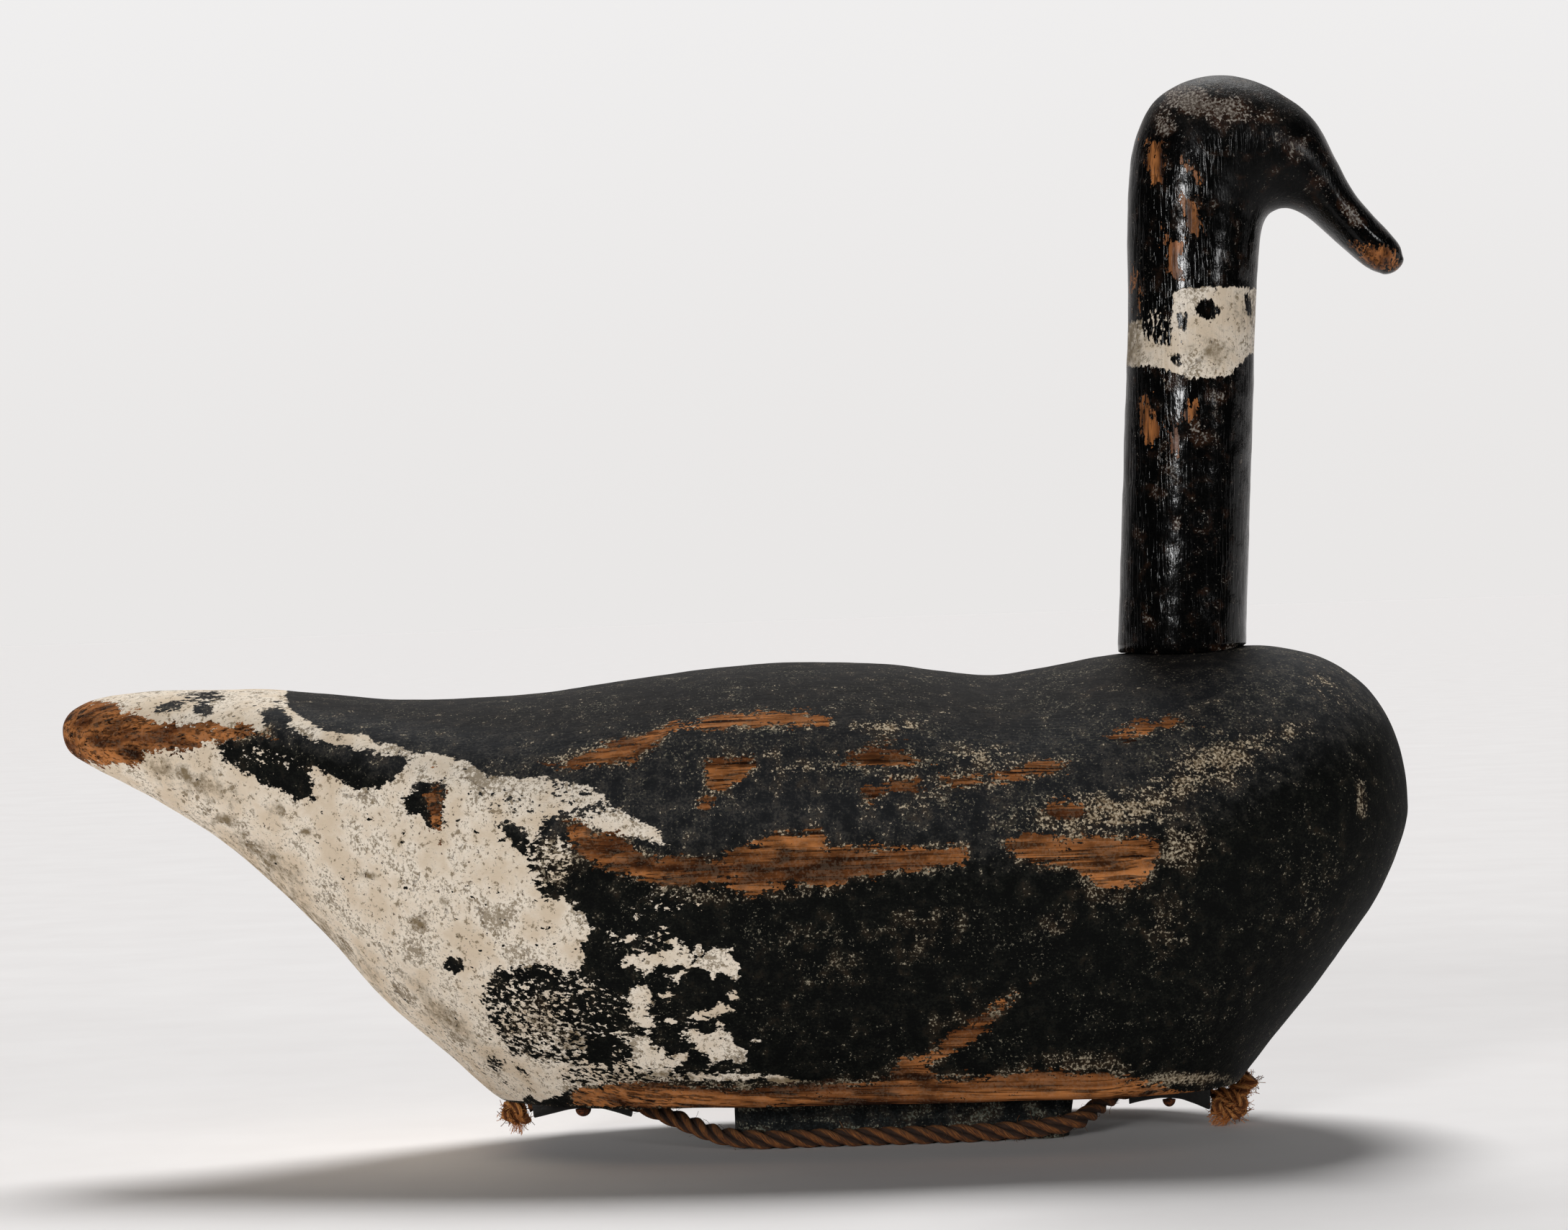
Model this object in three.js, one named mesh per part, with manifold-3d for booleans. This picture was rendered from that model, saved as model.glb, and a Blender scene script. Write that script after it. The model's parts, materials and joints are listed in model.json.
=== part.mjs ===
// Goose decoy: a carved and painted wooden goose with a tall stick-up neck. It stands on a
// short keel board, and a length of rope is held under its belly by two leather straps.
//
// Units are millimetres. +X points to the breast, +Y to the goose's left side and +Z up.
// The origin is the centre of the keel board's underside, which the decoy stands on.

import * as THREE from 'three';
import { mergeVertices } from 'three/addons/utils/BufferGeometryUtils.js';
import Module from 'manifold-3d';

const wasm = await Module();
wasm.setup();

// Clearance between two pieces that touch
const touchGap = 0.3;

// Body block
const bodyLength = 609;
const bodyWidth = 236;
const bodyHeight = 193;
const tailReach = 377;

// Neck and head
const neckDiameter = 58;
const neckHeight = 182;
const neckLean = 11.5;
const neckPlace = 0.838;
const headLength = 124;
const headHeight = 78;
const headThickness = 57;

// Keel board
const keelLength = 154;
const keelWidth = 64;
const keelHeight = 24.5;
const keelCornerRadius = 12;
const keelEdge = 1.5;
const keelRake = 3.5;

// Rope
const ropeDiameter = 8.5;
const ropeSides = 8;
const ropeSteps = 48;

// Straps draped over the rope, each held by one round-headed nail at its middle. Each stands
// off from its end of the keel, and its width is measured along the rope.
const strapThickness = 2;
const strapSlack = 0.4;
const strapArchSlack = 2;
const strapCornerCurl = 1.5;
const rearStrap = { keelGap: 47, width: 44, span: 56, nailHead: 7.2 };
const frontStrap = { keelGap: 25.5, width: 36.5, span: 60, nailHead: 6 };

const nailHeadHeight = 3.4;
const nailShankDiameter = 2.6;
const nailProud = 0.4;

// Stopper knots at the rope's ends
const rearKnot = { length: 12, width: 12.5, height: 12, drop: 3.4 };
const frontKnot = { length: 16.5, width: 17, height: 16, drop: 4.4 };
const frontTuft = { length: 16.5, rootRadius: 4, endRadius: 4.5, rise: 0.74, aside: 3 };

// Shares of the body's length from the tail tip, against shares of its height above the
// flat bottom. The underside runs on below zero, and the flat bottom is cut from it.
const backLine = [
  [0, 0.892], [0.01, 0.943], [0.0345, 0.968], [0.088, 0.978], [0.143, 0.975], [0.19, 0.961],
  [0.255, 0.939], [0.294, 0.935], [0.353, 0.943], [0.422, 0.966], [0.484, 0.988], [0.548, 0.996],
  [0.609, 0.986], [0.657, 0.963], [0.695, 0.951], [0.736, 0.966], [0.79, 0.991], [0.849, 1.001],
  [0.89, 1.001], [0.931, 0.978], [0.966, 0.917], [0.99, 0.813], [0.998, 0.725], [1, 0.625],
];
const widestLine = [
  [0, 0.892], [0.154, 0.853], [0.274, 0.736], [0.38, 0.597], [0.461, 0.537], [0.568, 0.534],
  [0.703, 0.529], [0.811, 0.535], [0.92, 0.583], [1, 0.625],
];
const underLine = [
  [0, 0.892], [0.005, 0.842], [0.0213, 0.804], [0.059, 0.741], [0.107, 0.645], [0.151, 0.525],
  [0.194, 0.387], [0.232, 0.247], [0.28, 0.106], [0.318, -0.003], [0.373, -0.1], [0.438, -0.166],
  [0.537, -0.212], [0.619, -0.249], [0.701, -0.288], [0.757, -0.302], [0.795, -0.27],
  [0.828, -0.183], [0.852, -0.088], [0.872, 0.003], [0.901, 0.109], [0.9355, 0.241],
  [0.9675, 0.373], [0.9905, 0.508], [1, 0.625],
];

// Shares of the body's length against half-widths, as shares of the widest half-width
const planLine = [
  [0, 0], [0.006, 0.115], [0.0213, 0.19], [0.059, 0.275], [0.107, 0.36], [0.151, 0.45],
  [0.194, 0.55], [0.241, 0.665], [0.291, 0.772], [0.34, 0.858], [0.399, 0.932], [0.471, 0.981],
  [0.553, 1], [0.652, 1], [0.75, 0.992], [0.816, 0.958], [0.882, 0.868], [0.931, 0.742],
  [0.967, 0.565], [0.99, 0.33], [0.998, 0.17], [1, 0],
];

// How square the section is above and below its widest line: 2 is an ellipse
const upperFullness = [[0, 2.2], [0.2, 2.1], [0.45, 2.5], [0.6, 2.5], [0.78, 2], [1, 2.1]];
const lowerFullness = 2.2;
const wingEdge = { start: 0.37, end: 0.69, height: 0.7, spread: 0.16, rise: 2.2 };

const bodySections = 52;
const bodySides = 44;

// Outline of the head in the side view, in shares of its length and height from the middle
// of the neck's top, as pairs on the crown and on the throat side, with half-thicknesses
const headSections = [
  { crown: [-0.242, 0.09], throat: [0.245, 0.026], half: 1 },
  { crown: [-0.231, 0.385], throat: [0.261, 0.134], half: 1 },
  { crown: [-0.206, 0.628], throat: [0.281, 0.177], half: 0.99 },
  { crown: [-0.123, 0.863], throat: [0.3, 0.196], half: 0.98 },
  { crown: [0.041, 0.988], throat: [0.318, 0.208], half: 0.96 },
  { crown: [0.226, 0.963], throat: [0.337, 0.212], half: 0.92 },
  { crown: [0.365, 0.841], throat: [0.359, 0.209], half: 0.86 },
  { crown: [0.457, 0.71], throat: [0.385, 0.195], half: 0.78 },
  { crown: [0.522, 0.506], throat: [0.421, 0.159], half: 0.68 },
  { crown: [0.583, 0.313], throat: [0.473, 0.083], half: 0.59 },
  { crown: [0.655, 0.158], throat: [0.538, -0.019], half: 0.52 },
  { crown: [0.716, 0.049], throat: [0.598, -0.106], half: 0.46 },
  { crown: [0.754, -0.036], throat: [0.649, -0.167], half: 0.37 },
  { crown: [0.765, -0.096], throat: [0.69, -0.194], half: 0.24 },
];
const billTip = [0.747, -0.168];
const headSteps = 30;
const headSides = 24;

// The rope's height is 0 where it lies on the ground and 1 where it touches the flat bottom.
// Under a strap its places are shares of the strap's length, from the end next to the keel.
const ropeInRearStrap = [
  [1.07, 0.96], [0.93, 1.04], [0.8, 1.12], [0.64, 1.21], [0.48, 1.24], [0.32, 1.21],
  [0.16, 1.1], [0, 0.945],
];
const ropeInFrontStrap = [
  [0, 0.83], [0.18, 0.915], [0.4, 0.97], [0.62, 0.935], [0.81, 0.8], [1.011, 0.593],
];
// Between the keel's end and a strap: share of the way, share of the way out, height
const ropeBehindKeel = [
  [0.81, 0.08, 0.738], [0.617, 0.22, 0.53], [0.426, 0.42, 0.34], [0.255, 0.63, 0.183],
  [0.085, 0.84, 0.082],
];
const ropeBeforeKeel = [
  [0.15, 0.79, 0.328], [0.323, 0.57, 0.445], [0.502, 0.34, 0.568], [0.7, 0.14, 0.69],
];
// Beside the keel: share of half the keel's length, share of the way out, height
const ropeBesideKeel = [
  [-0.93, 0.98, 0.03], [-0.805, 1.01, 0], [-0.57, 1, 0], [-0.286, 1.01, 0], [0, 1.02, 0],
  [0.31, 1.01, 0], [0.57, 1, 0.025], [0.753, 1.01, 0.08], [0.87, 1.02, 0.14],
  [0.97, 0.96, 0.215],
];

const blackPaint = new THREE.MeshStandardMaterial({ color: '#2a2b2c', roughness: 0.6 });
const neckPaint = new THREE.MeshStandardMaterial({ color: '#1c1c1d', roughness: 0.4 });
const keelPaint = new THREE.MeshStandardMaterial({ color: '#33383a', roughness: 0.7 });
const sisal = new THREE.MeshStandardMaterial({ color: '#a0642c', roughness: 0.9 });
const strapLeather = new THREE.MeshStandardMaterial({ color: '#181818', roughness: 0.65 });
const rustyIron = new THREE.MeshStandardMaterial({
  color: '#4a3226', roughness: 0.7, metalness: 0.6,
});

const alongX = (share) => share * bodyLength - tailReach;
const upZ = (share) => keelHeight + share * bodyHeight;
const lerp = THREE.MathUtils.lerp;

// A smooth curve through points with no overshoot: cubic pieces with limited slopes
function curveThrough(points) {
  const rise = (i) => (points[i + 1][1] - points[i][1]) / (points[i + 1][0] - points[i][0]);
  const slopes = points.map((point, i) => {
    if (i === 0) return rise(0);
    if (i === points.length - 1) return rise(i - 1);
    const before = rise(i - 1);
    const after = rise(i);
    return before * after <= 0 ? 0 : (2 * before * after) / (before + after);
  });
  return (x) => {
    let i = 0;
    while (i < points.length - 2 && x > points[i + 1][0]) i += 1;
    const span = points[i + 1][0] - points[i][0];
    const t = THREE.MathUtils.clamp((x - points[i][0]) / span, 0, 1);
    const bend = t * t * (3 - 2 * t);
    const leaving = slopes[i] * t * (1 - t) ** 2;
    const arriving = slopes[i + 1] * t * t * (t - 1);
    return lerp(points[i][1], points[i + 1][1], bend) + span * (leaving + arriving);
  };
}

// The sections crowd towards both ends, which makes the ends round: a share of the body's
// length becomes a share of a half turn
const turnOf = (share) => Math.acos(1 - 2 * share) / Math.PI;
const shareOf = (turn) => (1 - Math.cos(Math.PI * turn)) / 2;
const roundEnded = (points) => {
  const curve = curveThrough(points.map(([share, value]) => [turnOf(share), value]));
  return (share) => curve(turnOf(share));
};
const backAt = roundEnded(backLine);
const widestAt = roundEnded(widestLine);
const underAt = roundEnded(underLine);
const planAt = roundEnded(planLine);
const upperFullnessAt = curveThrough(upperFullness);

const signedPower = (value, power) => Math.sign(value) * Math.abs(value) ** power;

// The folded wings' upper edges are a soft ridge on each side of the back
function wingRise(share, height) {
  const t = (share - wingEdge.start) / (wingEdge.end - wingEdge.start);
  if (t <= 0 || t >= 1) return 0;
  const across = (height - wingEdge.height) / wingEdge.spread;
  return wingEdge.rise * Math.sin(Math.PI * t) * Math.exp(-across * across);
}

// One closed section of the body, as points from its left side over the back
function bodySection(share) {
  const x = alongX(share);
  const widest = upZ(widestAt(share));
  const above = upZ(backAt(share)) - widest;
  const below = widest - upZ(underAt(share));
  const half = planAt(share) * bodyWidth / 2;
  const section = [];
  for (let i = 0; i < bodySides; i += 1) {
    const angle = (2 * Math.PI * i) / bodySides;
    const upper = Math.sin(angle) >= 0;
    const power = 2 / (upper ? upperFullnessAt(share) : lowerFullness);
    const out = signedPower(Math.cos(angle), power);
    const up = signedPower(Math.sin(angle), power);
    const rise = upper ? wingRise(share, up) : 0;
    section.push(new THREE.Vector3(
      x,
      out * (half + rise),
      widest + up * (upper ? above : below) + rise * Math.abs(up) * Math.abs(out),
    ));
  }
  return section;
}

// A closed skin over sections of equal point count, brought to a point at both ends
function skin(sections, firstPoint, lastPoint) {
  const sides = sections[0].length;
  const points = [firstPoint, ...sections.flat(), lastPoint];
  const last = points.length - 1;
  const at = (section, side) => 1 + section * sides + (side % sides);
  const faces = [];
  for (let side = 0; side < sides; side += 1) {
    faces.push(0, at(0, side + 1), at(0, side));
    for (let section = 0; section < sections.length - 1; section += 1) {
      const [a, b] = [at(section, side), at(section + 1, side)];
      const [c, d] = [at(section + 1, side + 1), at(section, side + 1)];
      faces.push(a, d, c, a, c, b);
    }
    const end = sections.length - 1;
    faces.push(last, at(end, side), at(end, side + 1));
  }
  const geometry = new THREE.BufferGeometry().setFromPoints(points);
  geometry.setIndex(faces);
  return geometry;
}

function toSolid(geometry) {
  const bare = geometry.clone();
  bare.deleteAttribute('normal');
  bare.deleteAttribute('uv');
  const merged = mergeVertices(bare, 1e-4);
  return new wasm.Manifold(new wasm.Mesh({
    numProp: 3,
    vertProperties: new Float32Array(merged.attributes.position.array),
    triVerts: new Uint32Array(merged.index.array),
  }));
}

function toGeometry(solid) {
  const { vertProperties, triVerts } = solid.getMesh();
  const geometry = new THREE.BufferGeometry();
  geometry.setAttribute('position', new THREE.BufferAttribute(vertProperties, 3));
  geometry.setIndex(new THREE.BufferAttribute(triVerts, 1));
  return geometry;
}

// The hull is carved round and then planed flat at the height of the keel's top
function bodyHull() {
  const sections = [];
  for (let i = 1; i < bodySections; i += 1) {
    sections.push(bodySection(shareOf(i / bodySections)));
  }
  const tailTip = new THREE.Vector3(alongX(0), 0, upZ(backAt(0)));
  const breast = new THREE.Vector3(alongX(1), 0, upZ(backAt(1)));
  return toSolid(skin(sections, tailTip, breast));
}

function bodySolid() {
  const waste = new THREE.BoxGeometry(2 * bodyLength, 2 * bodyWidth, 2 * bodyHeight);
  waste.translate(0, 0, keelHeight - bodyHeight);
  return bodyHull().subtract(toSolid(waste));
}

// Neck and head: sections that stand on the neck, fan round the throat and follow the bill
function headAndNeckSolid(body) {
  const seat = new THREE.Vector3(alongX(neckPlace), 0, upZ(backAt(neckPlace)));
  const neckTop = seat.clone().add(new THREE.Vector3(neckLean, 0, neckHeight));
  const half = neckDiameter / 2;
  const sunk = neckDiameter / 3;
  const root = seat.clone().sub(new THREE.Vector3(sunk * neckLean / neckHeight, 0, sunk));
  const inHead = ([along, up]) => neckTop.clone().add(
    new THREE.Vector3(along * headLength, 0, up * headHeight),
  );
  const pairs = [];
  for (const share of [0, 0.12, 0.35, 0.6, 0.85]) {
    const middle = root.clone().lerp(neckTop, share);
    pairs.push({
      crown: middle.clone().add(new THREE.Vector3(-half, 0, 0)),
      throat: middle.clone().add(new THREE.Vector3(half, 0, 0)),
      half,
    });
  }
  for (const { crown, throat, half: share } of headSections) {
    pairs.push({
      crown: inHead(crown),
      throat: inHead(throat),
      half: share * headThickness / 2,
    });
  }
  const crownRail = new THREE.CatmullRomCurve3(pairs.map((pair) => pair.crown));
  const throatRail = new THREE.CatmullRomCurve3(pairs.map((pair) => pair.throat));
  const halfRail = new THREE.CatmullRomCurve3(
    pairs.map((pair, i) => new THREE.Vector3(i, pair.half, 0)),
  );
  const side = new THREE.Vector3(0, -1, 0);
  const sections = [];
  for (let i = 0; i <= headSteps; i += 1) {
    const crown = crownRail.getPoint(i / headSteps);
    const throat = throatRail.getPoint(i / headSteps);
    const middle = crown.clone().lerp(throat, 0.5);
    const reach = crown.clone().sub(throat).multiplyScalar(0.5);
    const width = halfRail.getPoint(i / headSteps).y;
    const section = [];
    for (let j = 0; j < headSides; j += 1) {
      const angle = (2 * Math.PI * j) / headSides;
      section.push(middle.clone()
        .addScaledVector(reach, Math.cos(angle))
        .addScaledVector(side, width * Math.sin(angle)));
    }
    sections.push(section);
  }
  const whole = toSolid(skin(sections, root, inHead(billTip)));
  return whole.subtract(body.translate([0, 0, touchGap]));
}

// The keel is a board with round corners in plan and its edges eased. Its front end is cut
// back towards the lower edge.
function keelGeometry() {
  const corner = keelCornerRadius - keelEdge;
  const halfLength = keelLength / 2 - keelEdge;
  const halfWidth = keelWidth / 2 - keelEdge;
  const plan = new THREE.Shape();
  plan.absarc(halfLength - corner, halfWidth - corner, corner, 0, Math.PI / 2);
  plan.absarc(corner - halfLength, halfWidth - corner, corner, Math.PI / 2, Math.PI);
  plan.absarc(corner - halfLength, corner - halfWidth, corner, Math.PI, Math.PI * 1.5);
  plan.absarc(halfLength - corner, corner - halfWidth, corner, Math.PI * 1.5, Math.PI * 2);
  const board = new THREE.ExtrudeGeometry(plan, {
    depth: keelHeight - touchGap - 2 * keelEdge,
    bevelThickness: keelEdge,
    bevelSize: keelEdge,
    bevelSegments: 1,
    curveSegments: 5,
  });
  board.translate(0, 0, keelEdge);
  const place = board.attributes.position;
  for (let i = 0; i < place.count; i += 1) {
    const towardsFront = Math.max(0, place.getX(i) / (keelLength / 2));
    const below = 1 - place.getZ(i) / keelHeight;
    place.setX(i, place.getX(i) - keelRake * below * towardsFront ** 4);
  }
  return board;
}

// A closed sheet between two grids of points that match: rows of its face and of its back
function sheet(face, back) {
  const rows = face.length;
  const columns = face[0].length;
  const at = (side, row, column) => (side * rows + row) * columns + column;
  const faces = [];
  const quad = (a, b, c, d) => faces.push(a, b, c, a, c, d);
  for (let row = 0; row < rows - 1; row += 1) {
    for (let column = 0; column < columns - 1; column += 1) {
      for (const side of [0, 1]) {
        const corners = [
          at(side, row, column), at(side, row + 1, column),
          at(side, row + 1, column + 1), at(side, row, column + 1),
        ];
        quad(...(side ? corners.reverse() : corners));
      }
    }
    quad(at(0, row + 1, 0), at(0, row, 0), at(1, row, 0), at(1, row + 1, 0));
    const edge = columns - 1;
    quad(at(0, row, edge), at(0, row + 1, edge), at(1, row + 1, edge), at(1, row, edge));
  }
  for (let column = 0; column < columns - 1; column += 1) {
    quad(at(0, 0, column), at(0, 0, column + 1), at(1, 0, column + 1), at(1, 0, column));
    const edge = rows - 1;
    quad(
      at(0, edge, column + 1), at(0, edge, column), at(1, edge, column), at(1, edge, column + 1),
    );
  }
  const geometry = new THREE.BufferGeometry().setFromPoints([...face.flat(), ...back.flat()]);
  geometry.setIndex(faces);
  return geometry;
}

// The ends of the straps next to the keel, and their far ends
const rearStrapStart = -keelLength / 2 - rearStrap.keelGap;
const rearStrapEnd = rearStrapStart - rearStrap.width;
const frontStrapStart = keelLength / 2 + frontStrap.keelGap;
const frontStrapEnd = frontStrapStart + frontStrap.width;

// The rope's middle line, from the rear knot along the near side of the keel to the front knot
const ropeRoute = (() => {
  const point = (x, out, height) => new THREE.Vector3(
    x,
    -out * (keelWidth / 2 + ropeDiameter / 2 + 3 * touchGap),
    lerp(ropeDiameter / 2 + touchGap / 2, keelHeight - ropeDiameter / 2, height),
  );
  const half = keelLength / 2;
  return [
    ...ropeInRearStrap.map(([share, height]) => (
      point(lerp(rearStrapStart, rearStrapEnd, share), 0, height))),
    ...ropeBehindKeel.map(([share, out, height]) => (
      point(lerp(-half, rearStrapStart, share), out, height))),
    ...ropeBesideKeel.map(([share, out, height]) => point(share * half, out, height)),
    ...ropeBeforeKeel.map(([share, out, height]) => (
      point(lerp(half, frontStrapStart, share), out, height))),
    ...ropeInFrontStrap.map(([share, height]) => (
      point(lerp(frontStrapStart, frontStrapEnd, share), 0, height))),
  ];
})();
const ropePath = new THREE.CatmullRomCurve3(ropeRoute);
const ropeHeightAt = curveThrough(ropeRoute.map(({ x, z }) => [x, z]));
const ropeSideAt = curveThrough(ropeRoute.map(({ x, y }) => [x, y]));
// The slanting rope's reach from its middle line, measured straight down or straight across
const ropeReachAt = (curve, x) => (
  ropeDiameter / 2 * Math.hypot(1, (curve(x + 1) - curve(x - 1)) / 2)
);
const strapTop = keelHeight - touchGap;
const archDepthAt = (x) => (
  strapTop - ropeHeightAt(x) + ropeReachAt(ropeHeightAt, x) + strapSlack
);

function ropeGeometry(diameter) {
  const section = new THREE.Shape();
  for (let i = 0; i < ropeSides; i += 1) {
    const angle = (2 * Math.PI * (i + 0.5)) / ropeSides;
    const [x, y] = [Math.cos(angle), Math.sin(angle)].map((v) => v * diameter / 2);
    if (i === 0) section.moveTo(x, y);
    else section.lineTo(x, y);
  }
  return new THREE.ExtrudeGeometry(section, { steps: ropeSteps, extrudePath: ropePath });
}

// A strap lies on the flat bottom on both sides of the rope and hangs round the rope between
// them, so it follows the rope as that rises to the nail and sags towards both of its ends.
function strapGeometry(rear, front, span) {
  const rows = 6;
  const archSteps = 10;
  const wingSteps = 2;
  const surface = (offset) => {
    const points = [];
    for (let row = 0; row <= rows; row += 1) {
      const x = lerp(rear, front, row / rows);
      const depth = archDepthAt(x) + offset;
      const side = ropeSideAt(x);
      const half = ropeReachAt(ropeSideAt, x) + strapArchSlack + offset;
      const curl = strapCornerCurl * (2 * row / rows - 1) ** 2;
      const wing = (end) => Array.from({ length: wingSteps }, (_, i) => {
        const out = 1 - i / wingSteps;
        return [lerp(side + end * half, (end * span) / 2, out), offset + curl * out * out];
      });
      const line = wing(-1);
      for (let i = 0; i <= archSteps; i += 1) {
        const angle = (Math.PI * i) / archSteps;
        const across = side - signedPower(Math.cos(angle), 2 / 3) * half;
        line.push([across, lerp(offset, depth, signedPower(Math.sin(angle), 2 / 3))]);
      }
      line.push(...wing(1).reverse());
      points.push(line.map(([y, z]) => new THREE.Vector3(x, y, strapTop - z)));
    }
    return points;
  };
  return sheet(surface(0), surface(strapThickness));
}

// Seen from below: a domed head on the part of the shank that shows
function nailGeometry(headDiameter) {
  const radius = headDiameter / 2;
  const domeSteps = 4;
  const profile = [new THREE.Vector2(0, -nailProud - nailHeadHeight)];
  for (let i = domeSteps - 1; i >= 0; i -= 1) {
    const angle = (Math.PI / 2) * (i / domeSteps);
    profile.push(new THREE.Vector2(
      radius * Math.cos(angle),
      -nailProud - nailHeadHeight * Math.sin(angle),
    ));
  }
  profile.push(new THREE.Vector2(nailShankDiameter / 2, -nailProud));
  profile.push(new THREE.Vector2(nailShankDiameter / 2, 0));
  profile.push(new THREE.Vector2(0, 0));
  return new THREE.LatheGeometry(profile, 12).rotateX(Math.PI / 2);
}

// A stopper knot: a core with two turns of rope round it
function knotSolid({ length, width, height }) {
  const tube = ropeDiameter * 0.34;
  const turn = (lean, place) => {
    const ring = new THREE.TorusGeometry(0.5 * height - tube, tube, 8, 12);
    ring.rotateY(Math.PI / 2 + lean);
    ring.scale(1, width / height, 1);
    return toSolid(ring.translate(place, 0, 0));
  };
  const core = new THREE.SphereGeometry(0.5, 12, 8);
  core.scale(length, width * 0.92, height * 0.92);
  const spread = length / 2 - tube;
  return toSolid(core).add(turn(0.12, -spread)).add(turn(-0.25, spread));
}

function tuftSolid({ length, rootRadius, endRadius, rise, aside }) {
  const tuft = new THREE.CylinderGeometry(endRadius, rootRadius, length, 8);
  tuft.translate(0, length / 2, 0);
  tuft.rotateZ(-Math.PI / 2);
  tuft.rotateY(-rise);
  return toSolid(tuft.translate(0, -aside, 0));
}

function named(name, geometry, material) {
  const mesh = new THREE.Mesh(geometry, material);
  mesh.name = name;
  return mesh;
}

const decoy = new THREE.Group();

// The rope has bedded into the bottom where the rear strap's nail pulls it tight
const bed = toSolid(ropeGeometry(ropeDiameter + 2 * touchGap));
const body = bodySolid().subtract(bed);
decoy.add(named('body', toGeometry(body), blackPaint));
decoy.add(named('head_and_neck', toGeometry(headAndNeckSolid(body)), neckPaint));
decoy.add(named('keel', keelGeometry(), keelPaint));
decoy.add(named('rope', ropeGeometry(ropeDiameter), sisal));

function addStrapAndNail(end, { span, nailHead }, rear, front) {
  decoy.add(named(`${end}_strap`, strapGeometry(rear, front, span), strapLeather));
  const nail = named(`${end}_strap_nail`, nailGeometry(nailHead), rustyIron);
  const middle = (rear + front) / 2;
  nail.position.set(middle, 0, strapTop - archDepthAt(middle) - strapThickness - touchGap);
  decoy.add(nail);
}
addStrapAndNail('rear', rearStrap, rearStrapEnd, rearStrapStart);
addStrapAndNail('front', frontStrap, frontStrapStart, frontStrapEnd);

const [rearEnd, frontEnd] = [ropeRoute[0], ropeRoute[ropeRoute.length - 1]];
const rear = named('rear_knot', toGeometry(knotSolid(rearKnot)), sisal);
rear.position.set(rearEnd.x - touchGap - rearKnot.length / 2, 0, rearEnd.z - rearKnot.drop);
decoy.add(rear);

const frayed = knotSolid(frontKnot).add(tuftSolid(frontTuft));
const front = named('front_knot', toGeometry(frayed), sisal);
front.position.set(frontEnd.x + touchGap + frontKnot.length / 2, 0, frontEnd.z - frontKnot.drop);
decoy.add(front);

export default decoy;
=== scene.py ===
"""A carved and painted goose decoy on a short keel board, with a rope held under its belly.

The frame is in metres: +X towards the breast, +Y to the goose's left side, +Z up, and the origin
is the middle of the keel's underside. Shapes and paint are laid out in millimetres and become
metres where a mesh is made. Lengthways places of the carving are shares of the body's length.
"""

import json
import logging
import math
from dataclasses import dataclass
from enum import Enum

import bpy
import numpy as np
from mathutils import Matrix, Vector, noise

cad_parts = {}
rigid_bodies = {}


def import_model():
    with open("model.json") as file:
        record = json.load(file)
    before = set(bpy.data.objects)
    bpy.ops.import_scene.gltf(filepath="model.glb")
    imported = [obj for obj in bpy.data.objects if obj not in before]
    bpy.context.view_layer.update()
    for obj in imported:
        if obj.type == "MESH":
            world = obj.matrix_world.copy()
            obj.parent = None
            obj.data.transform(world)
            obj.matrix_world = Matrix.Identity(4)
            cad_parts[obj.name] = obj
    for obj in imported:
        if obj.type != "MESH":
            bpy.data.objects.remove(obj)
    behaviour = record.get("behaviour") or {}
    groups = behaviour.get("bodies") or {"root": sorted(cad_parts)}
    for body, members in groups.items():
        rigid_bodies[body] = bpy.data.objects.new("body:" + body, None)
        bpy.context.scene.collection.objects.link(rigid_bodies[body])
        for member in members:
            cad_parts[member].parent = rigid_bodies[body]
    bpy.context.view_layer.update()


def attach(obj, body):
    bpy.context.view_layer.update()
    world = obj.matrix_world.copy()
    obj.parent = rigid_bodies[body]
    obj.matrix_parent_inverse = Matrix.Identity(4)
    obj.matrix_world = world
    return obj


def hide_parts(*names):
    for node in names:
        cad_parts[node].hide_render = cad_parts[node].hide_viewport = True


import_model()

MM = 0.001
MATH = "ShaderNodeMath"
MIX = "ShaderNodeMixRGB"
NOISE = "ShaderNodeTexNoise"
RANGE = "ShaderNodeMapRange"
USUAL = {RANGE: {"interpolation_type": "SMOOTHSTEP"}}
log = logging.getLogger("goose_decoy")
Points = tuple[tuple[float, float], ...]
Object = bpy.types.Object
Material = bpy.types.Material
Tree = bpy.types.NodeTree
Socket = bpy.types.NodeSocket


def linear(hex_colour: str) -> tuple[float, float, float, float]:
    """Turns an sRGB colour into Blender's linear values.

    Args:
        hex_colour: six hex digits after a hash sign.

    Returns:
        Red, green, blue and an alpha of one.
    """
    parts = [int(hex_colour[i : i + 2], 16) / 255 for i in (1, 3, 5)]
    toe = 0.04045
    values = [p / 12.92 if p <= toe else ((p + 0.055) / 1.055) ** 2.4 for p in parts]
    return (*values, 1.0)


def add(
    tree: Tree, kind: str, inputs: dict | tuple = (), out: int | str = 0, **settings: object
) -> Socket | None:
    """Adds a node to a tree with its settings, values and links.

    Args:
        tree: the node tree.
        kind: the node's Blender type.
        inputs: values, sRGB hex codes or sockets, in the inputs' order or by their names.
        out: name or number of the output to give back.
        **settings: properties of the node besides its usual ones.

    Returns:
        That output's socket, or None for a node without outputs.
    """
    node = tree.nodes.new(kind)
    for name, value in (USUAL.get(kind, {}) | settings).items():
        setattr(node, name, value)
    given = inputs if isinstance(inputs, dict) else dict(enumerate(inputs))
    for key, value in given.items():
        socket = node.inputs[key]
        if isinstance(value, Socket):
            tree.links.new(value, socket)
        elif isinstance(value, str) and value.startswith("#"):
            socket.default_value = linear(value)
        else:
            socket.default_value = value
    return node.outputs[out] if node.outputs else None


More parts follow.
